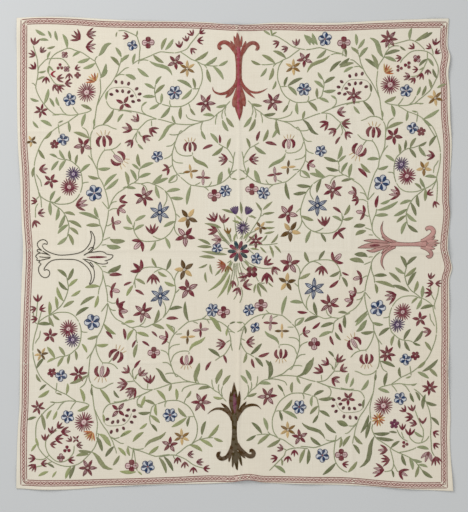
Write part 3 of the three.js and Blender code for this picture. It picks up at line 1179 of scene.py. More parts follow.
class Needle:
    """Gathers the stitches of one kind of motif by the slot of their dye, and ends as one piece for each.

    lay turns points in the motif's own millimetres into metres on the cloth."""

    def __init__(self):
        self.works = {}

    def work(self, dye):
        """The stitches that share this dye's slot."""
        return self.works.setdefault(SLOT_OF_DYE[dye], Stitches())

    def shape(self, lay, middle, wide, dye, crest, profile):
        """Satin stitch over middle lines of these widths. It is highest where it is widest."""
        shade = DYES[dye] * chance.uniform(0.88, 1.12, (len(middle), 1))
        rise = crest * (0.4 + 0.6 * wide / np.maximum(wide.max(axis=1, keepdims=True), 1e-9)) + SUNK
        self.work(dye).carry(lay(middle), wide / 2000, rise, shade, profile)

    def outline(self, lay, middle, wide, dye, row):
        """A thin row out along the left side of a shape and back along its right side."""
        ahead = np.gradient(middle, axis=1)
        ahead /= np.maximum(np.linalg.norm(ahead, axis=2, keepdims=True), 1e-9)
        left = np.stack([-ahead[..., 1], ahead[..., 0]], axis=2)
        reach = np.maximum(wide - row, 0)[..., None] / 2
        path = np.concatenate([middle + left * reach, (middle - left * reach)[:, -2::-1]], axis=1)
        taper = np.ones(path.shape[1])
        taper[[0, -1]] = 0.5
        half_width = np.broadcast_to(taper * row / 2000, path.shape[:2])
        self.work(dye).carry(lay(path), half_width, half_width * 0.3 + 0.001 + SUNK, DYES[dye], THIN_ROW)

    def petals(
        self, lay, base, tip, width, dye, blunt=(0.8, 1.0), bow=0.0, crest=0.0012, profile=PETAL, swing=0.0
    ):
        """Satin petals or leaves from base to tip, with the form that petal_form gives them."""
        middle, wide = petal_form(base, tip, width, blunt, bow, swing)
        self.shape(lay, middle, wide, dye, crest, profile)

    def open_petals(self, lay, base, tip, width, dye, pale, blunt=(0.8, 1.0), bow=0.0, row=1.5):
        """Petals with a thin pale filling, an outline and a vein of the dye."""
        middle, wide = petal_form(base, tip, width, blunt, bow)
        self.shape(lay, middle, wide, pale, 0.0005, PETAL)
        self.outline(lay, middle, wide, dye, row)
        vein = np.full(middle[:, 1:-2].shape[:2], row * 0.35 / 1000)
        self.work(dye).carry(lay(middle[:, 1:-2]), vein, vein + 0.0009 + SUNK, DYES[dye], THIN_ROW)

    def ring(self, lay, centre, radius, dye, row=1.5, lift=0.0):
        """A thin row round a circle, which runs on a little past its start."""
        angle = np.linspace(0, 2 * np.pi + 0.3, 17)
        path = np.asarray(centre) + radius * np.stack([np.cos(angle), np.sin(angle)], axis=1)
        half_width = np.full((1, len(path)), row / 2000)
        crest = half_width * 0.3 + 0.0012 + SUNK + lift
        self.work(dye).carry(lay(path[None]), half_width, crest, DYES[dye], THIN_ROW)

    def dot(self, lay, centre, size, dye, crest=0.0013):
        """A round knot: a petal as wide as it is long, its width a half circle's."""
        half = np.array([size / 2, 0])
        self.petals(lay, centre - half, centre + half, size, dye, (0.5, 0.5), crest=crest)

    def strand(self, lay, points, dye, rim=None, crest=0.0013, row=2.0):
        """A band of satin stitch along points of x, y and width, with an outline row in the rim's dye."""
        path = smooth_path(points, 4.0)
        middle, wide = path[None, :, :2], np.maximum(path[None, :, 2], 0.6)
        if dye:
            self.shape(lay, middle, wide, dye, crest, SATIN_BAND)
        if rim:
            self.outline(lay, middle, wide, rim, row)

    def row(self, lay, points, dye, width):
        """A single thin row along points of x and y."""
        path = smooth_path(points, 3.0)[None]
        half_width = np.full(path.shape[:2], width / 2000)
        half_width[:, [0, -1]] *= 0.5
        self.work(dye).carry(lay(path), half_width, half_width * 0.3 + 0.0008 + SUNK, DYES[dye], THIN_ROW)

    def finish(self, name, material):
        """One piece for each slot, named after the motif and the thread's colour."""
        for slot, work in self.works.items():
            stitched.append(work.finish(f"{name}_{PIECE_WORDS[slot]}", slot, material))


def rays(centre, near, far, angles):
    """Base and tip of petals that stand round a centre at these angles in degrees."""
    angles = np.radians(np.atleast_1d(angles))
    ahead = np.stack([np.cos(angles), np.sin(angles)], axis=1)
    return centre + ahead * near, centre + ahead * far


def in_quarter(quarter, wander=True):
    """The lay of a quarter: a function that puts template millimetres on the cloth."""
    return partial(placed, quarter=quarter, wander=wander)


def leaf_pairs(text):
    """Stalk ends and tips of the leaves in a table."""
    pairs = [[point.split(",") for point in leaf.split(">")] for leaf in text.split()]
    return np.array(pairs, float).transpose(1, 0, 2)


def on_stems(points, text):
    """Points moved onto the nearest stem of a table where one lies in reach, so leaves spring from it."""
    stem = np.vstack([smooth_path(route, 3.0) for route in routes(text)])
    gap = np.linalg.norm(points[:, None] - stem[None], axis=2)
    near = gap.min(axis=1) < LEAF_REACH
    return np.where(near[:, None], stem[gap.argmin(axis=1)], points)


def middles(pairs, quarter, wander):
    """Where the middles of leaves lie on the cloth, in millimetres."""
    return placed(pairs.mean(axis=0), quarter, wander) * 1000


def clear_of(pairs, quarter, wander, taken):
    """The leaves whose middles lie further than CLEAR_OF_OTHERS from every place that is taken."""
    gap = np.linalg.norm(middles(pairs, quarter, wander)[:, None] - taken, axis=2)
    return pairs[:, gap.min(axis=1) > CLEAR_OF_OTHERS]


def leaf_widths(stalk, tip, limits):
    """A share of each leaf's length, within the least and the most."""
    length = np.linalg.norm(tip - stalk, axis=1)
    return np.clip(length * limits["share"], limits["least"], limits["most"])


def green_leaves(leaves, quarter, pairs, stems_text, wander=True, swing=0.0, lean=0.0, broad=1.0):
    """Leaves 2 to 14 per cent longer than drawn, from the nearest stem, in the quarter's four greens.

    They bow to either side by chance, or all by lean, and swing like an S by swing, as shares of their
    length. broad multiplies their width."""
    stalk, tip = pairs
    tip = stalk + (tip - stalk) * chance.uniform(1.02, 1.14, (len(stalk), 1))
    tip = tip + chance.normal(0, 1, stalk.shape)
    stalk = on_stems(stalk, stems_text)
    width = leaf_widths(stalk, tip, LEAF_WIDTH) * broad
    to_either_side = chance.uniform(0.03, 0.1, len(stalk)) * chance.choice([-1, 1], len(stalk))
    bow = np.full(len(stalk), lean) if lean else to_either_side
    greens = chance.permutation(len(stalk)) % 4
    for index, green in enumerate(LEAF_GREENS[quarter]):
        pick = greens == index
        form = {"blunt": (0.85, 0.8), "bow": bow[pick], "profile": SATIN_LEAF, "swing": swing}
        if pick.any():
            lay = in_quarter(quarter, wander)
            leaves.petals(lay, stalk[pick], tip[pick], width[pick], green, **form)


for quarter in QUARTERS:
    leaves = Needle()
    wine_pairs = leaf_pairs(WINE_LEAVES[quarter])
    wine_places = middles(wine_pairs, quarter, False)
    own_leaves = " ".join((CORNER_LEAVES[quarter], CORNER_LONG_LEAVES[quarter], BROAD_LEAVES[quarter]))
    taken = np.vstack([wine_places, middles(leaf_pairs(own_leaves), quarter, False)])
    for text, swing in ((LEAVES, 0.0), (LONG_LEAVES, 0.06)):
        pairs = clear_of(leaf_pairs(text), quarter, True, taken)
        green_leaves(leaves, quarter, pairs, STEMS, swing=swing)
    for text, form in (
        (CORNER_LEAVES[quarter], {}),
        (CORNER_LONG_LEAVES[quarter], {"swing": 0.06, "lean": -0.09, "broad": 1.25}),
        (BROAD_LEAVES[quarter], {"swing": 0.03, "broad": 1.3}),
    ):
        pairs = clear_of(leaf_pairs(text), quarter, False, wine_places)
        green_leaves(leaves, quarter, pairs, CORNER_STEMS[quarter], wander=False, **form)
    width = leaf_widths(*wine_pairs, WINE_LEAF_WIDTH)
    form = {"blunt": (0.7, 0.9), "bow": 0.06, "profile": SATIN_LEAF}
    leaves.petals(in_quarter(quarter, False), *wine_pairs, width, "wine", **form)
    leaves.finish(f"leaves_{quarter}", satin_thread)

# The star flowers: pointed satin petals round a small ring and dot, filled dark (x), filled in the second
# shade (p) or outlined with a vein over a thin pale filling (o), in wine, gold or blue. A row's dyes are
# one letter for each quarter in the order of QUARTERS, or a dash where that quarter has no such flower.
STARS = rows("""
    a   b   radius turn marks   dyes
    195 572 24     47   xoxxo   wwww
    159 549 25     90   ppxpxx  kkkk
    100 446 29     116  xoxoxo  wwww
    463 331 27     62   xxoxo   w---
    463 331 27     62   xxxxx   -w--
    470 346 26     60   xxxxxx  --w-
    463 331 26     60   xxxxxxx ---w
    588 440 22     45   xxxxxx  w-w-
    588 440 25     40   xppxpx  -k--
    588 440 24     45   xxxxxxx ---w
    615 350 18     62   pxxpx   g---
    583 283 21     62   pxxpxp  --g-
    560 229 23     47   xxxxx   w-ww
    560 229 24     50   pxpxp   -k--
    280 172 30     20   xooxxo  wwww
    234 124 31     90   oooooo  bbbb
    148 105 31     56   xpxxp   g---
    148 105 30     60   xoxxo   -w--
    146 106 30     -11  xoxox   --w-
    148 105 28     58   xpxpx   ---g
    158 50  31     53   oxxox   w--w
    158 50  31     55   xpxxp   -g--
    158 50  31     69   xpxxp   --g-
    345 454 25     30   xxxx    w---
    344 454 25     92   xoxoxo  -w--
    347 457 25     -42  xoxo    --w-
    345 462 22     20   xxxxx   ---w
""")
# What each letter stands for: the dyes of filled petals, the second shade, the pale filling and the eye.
DYE_SETS = {
    "w": {"x": "wine", "p": "claret", "pale": "blush", "eye": "blush"},
    "k": {"x": "ochre", "p": "honey", "pale": "gold", "eye": "gold"},
    "g": {"x": "umber", "p": "honey", "pale": "gold", "eye": "gold"},
    "b": {"x": "indigo", "p": "slate", "pale": "sky", "eye": "blush"},
    "n": {"x": "indigo", "p": "slate", "pale": "sky", "eye": "plum"},
    "p": {"x": "purple", "p": "slate", "pale": "lilac", "eye": "rose"},
    "r": {"x": "crimson", "p": "rose", "pale": "blush", "eye": "gold"},
    "v": {"x": "violet", "p": "wine", "pale": "blush", "eye": "blush"},
}


def flowers_of(table):
    """Each flower of a table in each quarter whose letter in dyes is not a dash."""
    for index, quarter in enumerate(QUARTERS):
        for row in table:
            letter = str(row["dyes"])[index]
            if letter != "-":
                centre = np.array([row["a"], row["b"]]) + chance.normal(0, 1, 2)
                yield row, in_quarter(quarter), centre, DYE_SETS[letter]


def star(needle, lay, centre, radius, turn, marks, dyes):
    """Pointed petals at even angles, as long as the radius, round an eye with a ring in it."""
    angles = turn + np.arange(len(marks)) * 360 / len(marks) + chance.normal(0, 3, len(marks))
    width = radius * (0.5 if len(marks) < 6 else 0.42)
    for mark in "xpo":
        chosen = angles[[m == mark for m in marks]]
        base, tip = rays(centre, radius * 0.08, radius * 1.04, chosen)
        if len(chosen) and mark == "o":
            needle.open_petals(lay, base, tip, width, dyes["x"], dyes["pale"], (0.72, 0.95), row=3.2)
        elif len(chosen):
            needle.petals(lay, base, tip, width, dyes[mark], (0.72, 0.95))
    needle.dot(lay, centre, max(radius * 0.34, 7.0), "cream", 0.0018)
    needle.ring(lay, centre, max(radius * 0.15, 3.2), dyes["x"], 1.5, 0.0008)
    needle.dot(lay, centre, 3.0, dyes["x"], 0.0022)


star_needle = Needle()
for row, lay, centre, dyes in flowers_of(STARS):
    star(star_needle, lay, centre, row["radius"], row["turn"], row["marks"], dyes)
star_needle.finish("star_flowers", satin_thread)

# The daisies: narrow rays of wine and purple satin, which close up towards a small pale middle with one
# ring and a dot. share is how much of the rim the rays cover.
DAISIES = rows("""
    a   b   radius open rays share dyes
    450 488 30     9    23   0.496 wwww
    489 245 24     6    17   0.48  pppp
    504 208 28     7    20   0.528 wwww
""")


def daisy(needle, lay, centre, radius, inside, dyes, eye, share):
    """One ray for each dye named, of uneven length, from just past the inner ring outward.

    share is how much of the flower's rim the rays cover."""
    angles = np.arange(len(dyes)) * 360 / len(dyes) + chance.normal(0, 1.5, len(dyes))
    wide = 2 * np.pi * radius / len(dyes) * share
    for dye in sorted(set(dyes)):
        chosen = angles[[name == dye for name in dyes]]
        reach = radius * chance.uniform(0.94, 1.05, (len(chosen), 1))
        needle.petals(lay, *rays(centre, inside * 0.8, reach, chosen), wide, dye, (0.42, 0.5))
    needle.dot(lay, centre, inside * 1.8, eye, 0.0008)
    needle.ring(lay, centre, inside, dyes[0], 2.0)
    needle.dot(lay, centre, 4.0, dyes[0], 0.0014)


daisy_needle = Needle()
for row, lay, centre, dyes in flowers_of(DAISIES):
    names = ["claret" if dyes["x"] == "wine" else dyes["x"]] * int(row["rays"])
    daisy(daisy_needle, lay, centre, row["radius"], row["open"], names, dyes["pale"], row["share"])
daisy_needle.finish("daisies", satin_thread)

# The rosettes: round petals of satin stitch, filled (x), outlined over a pale filling (o) or with a dark
# outline and one half filled (h), as all the blue ones are. The four-petalled wine ones have two petals
# filled and two outlined.
ROSETTES = rows("""
    a   b   radius turn marks  dyes
    500 469 19     80   hhhhh  bbbb
    321 628 15     20   hhhh   b---
    272 634 18     0    oxox   w---
    255 628 20     20   hhhhh  -n--
    312 611 19     0    oxox   -w--
    309 631 19     0    oxox   --w-
    261 637 20     20   hhhhh  --n-
    320 624 18     0    oxox   ---w
    262 628 20     20   hhhhh  ---n
    430 191 24     75   hhhhh  bbbb
    243 291 17     60   hhhhh  bb--
    243 291 18     0    oxox   --w-
    243 291 18     0    xoxo   ---w
    519 350 17     80   hhhh   bbbb
    194 481 21     60   hhhhhh nnnn
    36  182 18     50   hhhhhh b--b
    36  182 18     0    oxox   -ww-
    71  170 19     0    oxox   w--w
    71  170 19     50   hhhhhh -bb-
    59  237 15     30   hhhh   ---b
    546 338 14     90   xxxxx  wwww
""")


def rosette(needle, lay, centre, radius, turn, marks, dyes):
    """Round petals at even angles, as wide as they can be beside each other, round a small pale eye."""
    angles = turn + np.arange(len(marks)) * 360 / len(marks)
    width = radius * 1.45 * np.sin(np.pi / max(len(marks), 4))
    form = (0.6, 0.42)
    for mark in "xoh":
        chosen = angles[[m == mark for m in marks]]
        base, tip = rays(centre, radius * 0.1, radius, chosen)
        if len(chosen) and mark == "x":
            needle.petals(lay, base, tip, width, dyes["x"], form)
        elif len(chosen) and mark == "o":
            needle.open_petals(lay, base, tip, width, dyes["x"], dyes["pale"], form, row=2.4)
        elif len(chosen):
            middle, wide = petal_form(base, tip, width, form, 0.0)
            needle.shape(lay, middle, wide, dyes["pale"], 0.0006, PETAL)
            needle.outline(lay, middle, wide, dyes["x"], 2.2)
            base, tip = rays(centre, radius * 0.12, radius * 0.9, chosen - 14)
            needle.petals(lay, base, tip, width * 0.66, dyes["x"], (0.7, 0.5), -0.1)
    needle.dot(lay, centre, max(radius * 0.22, 2.4), dyes["eye"], 0.0015)


rosette_needle = Needle()
for row, lay, centre, dyes in flowers_of(ROSETTES):
    rosette(rosette_needle, lay, centre, row["radius"], row["turn"], row["marks"], dyes)
rosette_needle.finish("rosettes", satin_thread)

# The tulips and buds: pointed satin lobes that stand out of one small cup, filled (x) or outlined with a
# vein (o). turn is where they open to: 0 is out from the middle, 90 towards the far or near edge. The
# lilies are wide open ones of two or three long petals, in places of their own in each quarter.
TULIPS = rows("""
    a   b   size turn marks dyes
    344 657 19   10   xxx   w---
    333 652 19   10   xxx   ---w
    310 407 24   45   oox   w---
    307 405 26   5    xoo   -w--
    311 409 31   40   xooox --w-
    307 403 28   30   xox   ---w
    334 379 29   15   xox   w---
    322 371 26   -5   xxx   -w--
    339 384 31   5    xoox  --w-
    332 370 24   -25  xox   ---w
    254 368 28   212  xxx   ww-w
    256 369 29   -78  xxox  --w-
    277 347 25   215  xox   ww-w
    277 347 27   228  oxo   --w-
    325 334 24   -50  xox   ww--
    326 339 24   -45  xox   --w-
    322 340 26   -50  xxx   ---w
    580 266 26   175  xox   ww-w
    46  276 28   0    xoox  wwww
    255 75  31   95   xxxx  wwww
    468 158 34   165  xoox  ww-w
""")
LILIES = rows("""
    quarter    a   b   size turn spread marks
    far_left   209 255 22   -20  58     xxx
    far_right  210 254 22   -26  55     xox
    near_left  207 255 24   -15  62     xox
    near_right 202 253 21   -14  56     xox
    far_left   354 164 26   168  28     xx
    far_left   357 140 24   211  57     xox
    far_left   288 38  30   -45  53     xox
    far_left   373 96  23   170  82     xox
    far_right  354 164 23   185  58     xox
    far_right  361 142 22   192  50     xxx
    far_right  302 46  27   -50  74     xxx
    far_right  380 101 25   170  69     xox
    near_left  356 151 25   209  59     xxx
    near_left  351 170 25   184  59     xox
    near_left  288 47  32   -43  46     xxx
    near_left  375 103 26   166  72     xox
    near_right 357 141 22   199  55     xox
    near_right 348 163 25   193  53     xox
    near_right 291 40  29   -43  58     xox
    near_right 373 92  25   168  68     xox
""")


def tulip(needle, lay, centre, size, turn, marks, dyes):
    """Lobes fanned out from one base point, each a pointed oval, with a round cup over their feet."""
    ahead = np.array([np.cos(np.radians(turn)), np.sin(np.radians(turn))])
    base = centre - ahead * size * 0.5
    spread = 32 if len(marks) < 4 else 38
    wide = size * (0.33 if len(marks) < 4 else 0.28)
    for mark, lean in zip(marks, np.linspace(-1, 1, len(marks))):
        angle = turn + lean * spread * chance.uniform(0.88, 1.15)
        foot, tip = rays(base, 0.0, size * chance.uniform(0.96, 1.08), angle)
        if mark == "x":
            needle.petals(lay, foot, tip, wide, dyes["x"], (0.6, 0.8), lean * 0.05)
        else:
            form = {"blunt": (0.6, 0.8), "bow": lean * 0.05, "row": 1.9}
            needle.open_petals(lay, foot, tip, wide, dyes["x"], dyes["pale"], **form)
    foot, tip = rays(base, -size * 0.06, size * 0.42, turn)
    needle.petals(lay, foot, tip, size * 0.33, dyes["x"], (0.5, 0.55), crest=0.0014)


def lily(needle, lay, base, size, turn, spread, marks):
    """Two or three long petals flung out from one point, by spread degrees to each side of turn."""
    for mark, lean in zip(marks, np.linspace(-1, 1, len(marks))):
        foot, tip = rays(base, -1.0, size * chance.uniform(0.94, 1.04), turn + lean * spread)
        if mark == "x":
            needle.petals(lay, foot, tip, size * 0.42, "wine", (0.5, 0.7), lean * 0.07)
        else:
            needle.open_petals(lay, foot, tip, size * 0.5, "wine", "blush", (0.7, 0.5), 0.0, 2.2)


tulip_needle = Needle()
for row, lay, centre, dyes in flowers_of(TULIPS):
    tulip(tulip_needle, lay, centre, row["size"], row["turn"], row["marks"], dyes)
for row in LILIES:
    lay, base = in_quarter(row["quarter"], False), np.array([row["a"], row["b"]])
    lily(tulip_needle, lay, base, row["size"], row["turn"], row["spread"], row["marks"])
tulip_needle.finish("tulips", satin_thread)

# The bell flowers: a round dome of three curved gores in wine satin, filled (x) or outlined (o), that meet
# where four gold stamens come out.
BELLS = rows("""
    a   b   radius turn marks dyes
    400 341 22     85   xxx   ww--
    400 342 22     83   xox   --w-
    400 342 20     90   xxx   ---w
    361 289 22     220  xox   w---
    359 289 22     240  xox   -w--
    360 295 22     238  xxx   --w-
    362 295 21     238  xox   ---w
    144 318 19     90   xxx   w--w
    144 318 19     90   xox   -ww-
""")
bell_needle = Needle()
for row, lay, centre, dyes in flowers_of(BELLS):
    turn, radius = np.radians(row["turn"]), row["radius"]
    ahead, side = np.array([np.cos(turn), np.sin(turn)]), np.array([-np.sin(turn), np.cos(turn)])
    for mark, place in zip(row["marks"], (1.0, 0.0, -1.0)):
        top = centre + ahead * radius * 0.8 + side * radius * place * 0.2
        foot = centre - ahead * radius * (0.8 - 0.1 * abs(place)) + side * radius * place * 0.6
        form = {"blunt": (0.5, 0.5), "bow": place * 0.28}
        if mark == "x":
            bell_needle.petals(lay, foot, top, radius * 0.6, dyes["x"], **form)
        else:
            bell_needle.open_petals(lay, foot, top, radius * 0.6, dyes["x"], dyes["pale"], **form)
    stamens = row["turn"] + np.array([-34, -12, 10, 32])
    bell_needle.petals(lay, *rays(centre, radius * 0.85, radius * 1.6, stamens), 2.2, "gold", (0.3, 0.3))
bell_needle.finish("bell_flowers", satin_thread)

# The fans and four-rayed flowers: narrow satin rays in orange, rust, gold and wine. cross is 1 where the
# filled pair of a four-rayed flower stands upright and the other pair lies flat.
FANS = rows("""
    a   b   radius turn spread rays dyes
    426 521 30     50   100    6    w---
    434 525 28     45   95     6    -w--
    424 515 30     50   100    7    --w-
    437 529 21     0    330    12   ---w
""")
FOUR_RAYS = rows("""
    a   b   radius turn cross dyes
    141 244 23     -5   0     k---
    144 248 23     2    0     ---g
    144 248 23     2    1     -gg-
    104 224 23     5    0     w---
    108 226 24     8    0     -w--
    107 224 24     5    0     ---w
    104 228 24     5    1     --w-
""")
fan_needle = Needle()
for row, lay, centre, dyes in flowers_of(FANS):
    angles = row["turn"] + np.linspace(-0.5, 0.5, int(row["rays"])) * row["spread"]
    for dye, chosen in (("orange", angles[0::3]), ("rust", angles[1::3]), ("gold", angles[2::3])):
        fan_needle.petals(lay, *rays(centre, 2.0, row["radius"], chosen), 6.0, dye, (0.7, 0.7))
for row, lay, centre, dyes in flowers_of(FOUR_RAYS):
    flat_rays, upright_rays = row["turn"] + np.array([0, 180]), row["turn"] + np.array([85, 265])
    if row["cross"]:
        flat_rays, upright_rays = upright_rays, flat_rays
    fan_needle.petals(lay, *rays(centre, 0.5, row["radius"], flat_rays), 9.4, dyes["x"], (0.65, 0.8))
    base, tip = rays(centre, 0.5, row["radius"], upright_rays)
    if dyes["p"] == "honey":
        fan_needle.petals(lay, base, tip, 9.0, dyes["p"], (0.65, 0.8))
    else:
        fan_needle.open_petals(lay, base, tip, 9.0, dyes["x"], dyes["pale"], (0.65, 0.8), row=1.4)
fan_needle.finish("rayed_flowers", satin_thread)

# The corner flowers: tulips, buds and small round flowers of wine satin, different ones in each corner and
# in the sprays near it, worked in the same shapes as the others.
CORNER_FLOWERS = {
    "far_left": rows("""
        kind    a   b   size turn marks   dye
        tulip   491 662 31   40   xxxx    w
        tulip   445 666 28   178  xoox    w
        tulip   446 628 29   180  xoox    w
        tulip   615 652 24   100  xxx     w
        tulip   591 624 19   125  ooo     w
        tulip   623 612 21   20   xxx     w
        tulip   620 576 23   45   xxx     w
        tulip   485 566 17   160  xxx     w
        tulip   536 537 22   172  xxx     w
        tulip   510 541 19   -90  xxx     w
        tulip   579 532 21   -90  xxx     w
        tulip   511 521 22   178  xox     w
        tulip   551 509 21   -115 xxx     w
        tulip   535 505 23   -135 xxxx    w
        tulip   556 550 19   180  xx      r
        rosette 538 571 11   90   xxx     w
        rosette 518 564 9    45   oooo    w
        rosette 485 544 10   90   xxxx    w
        rosette 524 607 10   45   oxoo    w
        tulip   181 626 21   80   xox     w
        tulip   161 643 19   75   xox     w
        tulip   146 659 19   60   xxx     w
        tulip   113 662 19   140  xxx     w
        tulip   117 635 20   178  xxx     w
        tulip   140 605 19   230  xox     w
        tulip   612 172 20   10   xxx     w
        tulip   588 135 20   175  ooo     w
        tulip   605 102 24   -110 xxx     w
    """),
    "far_right": rows("""
        kind    a   b   size turn marks   dye
        star    447 620 27   99   xxxooxo w
        tulip   516 594 19   140  xxx     w
        tulip   476 561 19   185  xxx     w
        tulip   527 525 17   180  xxx     w
        tulip   502 505 20   178  ooo     w
        tulip   520 492 21   230  xxx     w
        tulip   544 503 22   -110 xxx     w
        tulip   565 515 17   -90  ooo     w
        tulip   587 606 21   75   xox     w
        tulip   567 592 18   145  xxx     w
        tulip   594 576 18   40   xox     w
        rosette 532 557 12   45   xoxo    w
        rosette 505 539 12   60   xxx     w
        rosette 479 530 11   0    xxx     w
        tulip   108 618 21   200  xxx     w
        tulip   135 601 19   200  ooo     w
        tulip   170 620 21   95   oxo     w
        tulip   577 153 20   20   xxx     w
        tulip   593 118 20   -70  xxx     w
    """),
    "near_left": rows("""
        kind    a   b   size turn marks   dye
        star    440 635 27   -2   xoxoxo  w
        tulip   569 537 22   -90  xxx     w
        tulip   549 517 22   -100 xox     w
        tulip   525 504 22   -130 xxx     w
        tulip   507 523 27   180  xox     w
        tulip   525 544 26   180  xxx     w
        tulip   543 560 20   178  xxx     w
        tulip   496 547 17   -40  xxx     w
        tulip   465 566 18   180  ooo     w
        tulip   488 610 21   178  xxx     w
        tulip   608 600 21   0    xox     w
        tulip   605 628 24   50   xxxx    w
        tulip   570 617 20   180  xox     w
        star    476 547 13   45   xxxx    w
        rosette 503 577 12   30   xxx     w
        rosette 521 601 12   0    xoxo    w
        tulip   171 623 21   90   xxx     w
        tulip   149 637 20   90   xxx     w
        tulip   123 654 20   90   xxx     w
        tulip   131 605 19   185  ooo     w
        tulip   104 629 20   180  ooo     w
        tulip   83  649 20   175  xxx     w
        tulip   596 119 24   -90  xxx     w
        tulip   610 153 19   20   xxx     w
        tulip   581 152 20   200  xxx     w
        tulip   607 183 20   10   xxx     w
    """),
    "near_right": rows("""
        kind    a   b   size turn marks   dye
        rosette 478 536 15   60   xxxxx   v
        tulip   504 493 20   225  xxx     w
        tulip   530 489 21   -105 xxx     w
        tulip   520 517 26   180  xxx     w
        tulip   563 527 22   -90  xx      w
        tulip   502 545 20   -90  xxx     w
        tulip   534 536 22   195  xox     w
        tulip   525 560 24   -85  xxx     w
        rosette 510 598 11   0    xxx     w
        tulip   444 613 27   182  xox     w
        tulip   451 643 27   180  xxxx    w
        tulip   431 673 33   180  xoox    w
        tulip   507 686 30   30   xox     w
        tulip   577 638 30   110  ooo     w
        tulip   606 652 28   75   xxxx    w
        tulip   603 569 19   30   xox     w
        tulip   604 606 20   45   xxx     w
        tulip   136 596 19   200  ooo     w
        tulip   118 626 21   170  xxx     w
        tulip   160 631 20   95   xxx     w
        tulip   179 613 20   90   xxx     w
        tulip   582 95  20   -80  xxx     w
        tulip   580 118 19   180  xxx     w
        tulip   606 119 19   0    xxx     w
        tulip   574 146 24   180  xxx     w
    """),
}
SHAPES = {"tulip": tulip, "rosette": rosette, "star": star}
corner_needle = Needle()
for quarter, flowers in CORNER_FLOWERS.items():
    lay = in_quarter(quarter, False)
    for row in flowers:
        shape, centre = SHAPES[row["kind"]], np.array([row["a"], row["b"]])
        shape(corner_needle, lay, centre, row["size"], row["turn"], row["marks"], DYE_SETS[row["dye"]])
corner_needle.finish("corner_flowers", satin_thread)

# The berries: small ovals of dark red satin in a ring over a star flower, with a thread-thin green stalk
# that winds between them.
BERRIES = routes("""
368,520 350,517 331,513 380,482 364,492 348,491 330,488 307,497 298,481 321,476 300,462 317,459
""")[0]
BERRY_STALK = routes("""
392,488 380,500 357,503 331,501 315,487 306,468
""")[0]
BERRY_RING_MIDDLE = np.array([345, 470])
BERRY = {"half_length": 6.2, "width": 10.5}
berry_needle = Needle()
outward = BERRIES - BERRY_RING_MIDDLE
outward = outward / np.linalg.norm(outward, axis=1, keepdims=True) * BERRY["half_length"]
for quarter in QUARTERS:
    ends = (BERRIES - outward, BERRIES + outward)
    berry_needle.petals(in_quarter(quarter), *ends, BERRY["width"], "mulberry", (0.5, 0.52))
    berry_needle.row(in_quarter(quarter), BERRY_STALK, "stem", 1.6)
berry_needle.finish("berries", satin_thread)

# The four side ornaments: bands of satin stitch that flare from a narrow shaft into two rolled ends and a
# three-lobed foot at the border, and into two thin horns and a pointed bulb towards the middle. The left
# one is only drawn, in single dark rows. Each line is one band: the dyes of its filling and its outline,
# and x, y and width from end to end, in millimetres on the cloth.
FAR_ORNAMENT = """
brick brick 8,530,7 2,508,11 -9,494,12 -24,484,10 -42,480,8 -57,484,6 -65,492,4 -66,501,1
brick brick 3,508,8 -8,488,9 -18,477,10 -28,469,4
brick brick 16,530,7 22,510,10 33,497,9 48,487,7 65,484,7 82,488,5 98,497,1
brick brick 23,504,8 35,489,8 47,478,7 61,467,2
brick brick 9,505,6 4,478,13 -1,457,15 -4,440,6
brick brick 16,505,6 23,478,14 27,457,14 29,442,6
brick brick 12,500,10 12,476,22 12,452,26 13,432,22 14,418,14 14,400,1
brick brick 12,608,28 12,590,23 12,570,19 12,545,18 12,522,19 12,502,19
brick brick 5,596,8 0,608,12 -11,623,13 -25,634,13 -38,634,12 -47,626,11 -46,617,11 -39,615,9
brick brick 19,594,8 26,608,12 36,623,12 48,632,12 61,632,12 69,624,11 68,615,11 62,615,9
brick brick 3,606,9 -4,624,9 -12,640,4
brick brick 21,604,9 27,622,9 34,638,5
brick brick 6,616,8 1,638,8 -2,654,4
brick brick 17,620,8 20,640,7 21,654,3
brick brick 11,615,14 9,640,14 8,663,4
plum  -     11,648,5 11,622,12 12,598,12 12,570,9 12,540,8 12,515,11 12,490,13 12,458,12 13,430,10 14,404,2
wine  -     13,476,2 13,458,5 14,442,1
"""
NEAR_ORNAMENT = """
brown umber -8,-502,6 -12,-486,10 -22,-473,12 -38,-465,9 -55,-464,7 -70,-470,4 -82,-480,1
brown umber -10,-484,8 -20,-467,10 -30,-456,9 -42,-447,2
brown umber 6,-502,6 10,-486,9 18,-472,11 30,-460,9 46,-453,9 62,-453,7 72,-458,4 79,-466,1
brown umber 8,-486,8 17,-467,10 26,-454,9 35,-443,3
brown umber -4,-480,8 -10,-452,13 -12,-432,10 -12,-412,2
brown umber 3,-480,8 9,-452,13 13,-432,10 14,-411,2
brown umber -1,-480,9 -1,-450,17 -1,-425,19 -2,-405,12 -2,-384,1
moss  umber -1,-474,16 -1,-490,19 -1,-512,16 -1,-535,15 -1,-555,18 0,-575,24 1,-592,26
brown umber -7,-572,10 -13,-592,13 -24,-608,12 -38,-614,13 -48,-609,13 -50,-599,11 -42,-596,9
brown umber 7,-566,10 14,-582,13 27,-595,13 40,-605,13 52,-606,14 57,-597,13 51,-589,12 43,-592,9
brown umber -8,-585,9 -14,-606,9 -18,-624,4
brown umber 12,-585,9 21,-600,10 31,-613,4
moss  umber -3,-592,9 -5,-618,9 -7,-640,4
moss  umber 10,-592,9 16,-614,9 21,-635,4
moss  umber 2,-588,14 4,-618,14 7,-648,5
violet -    0,-484,3 0,-458,11 0,-430,11 -1,-400,1
"""
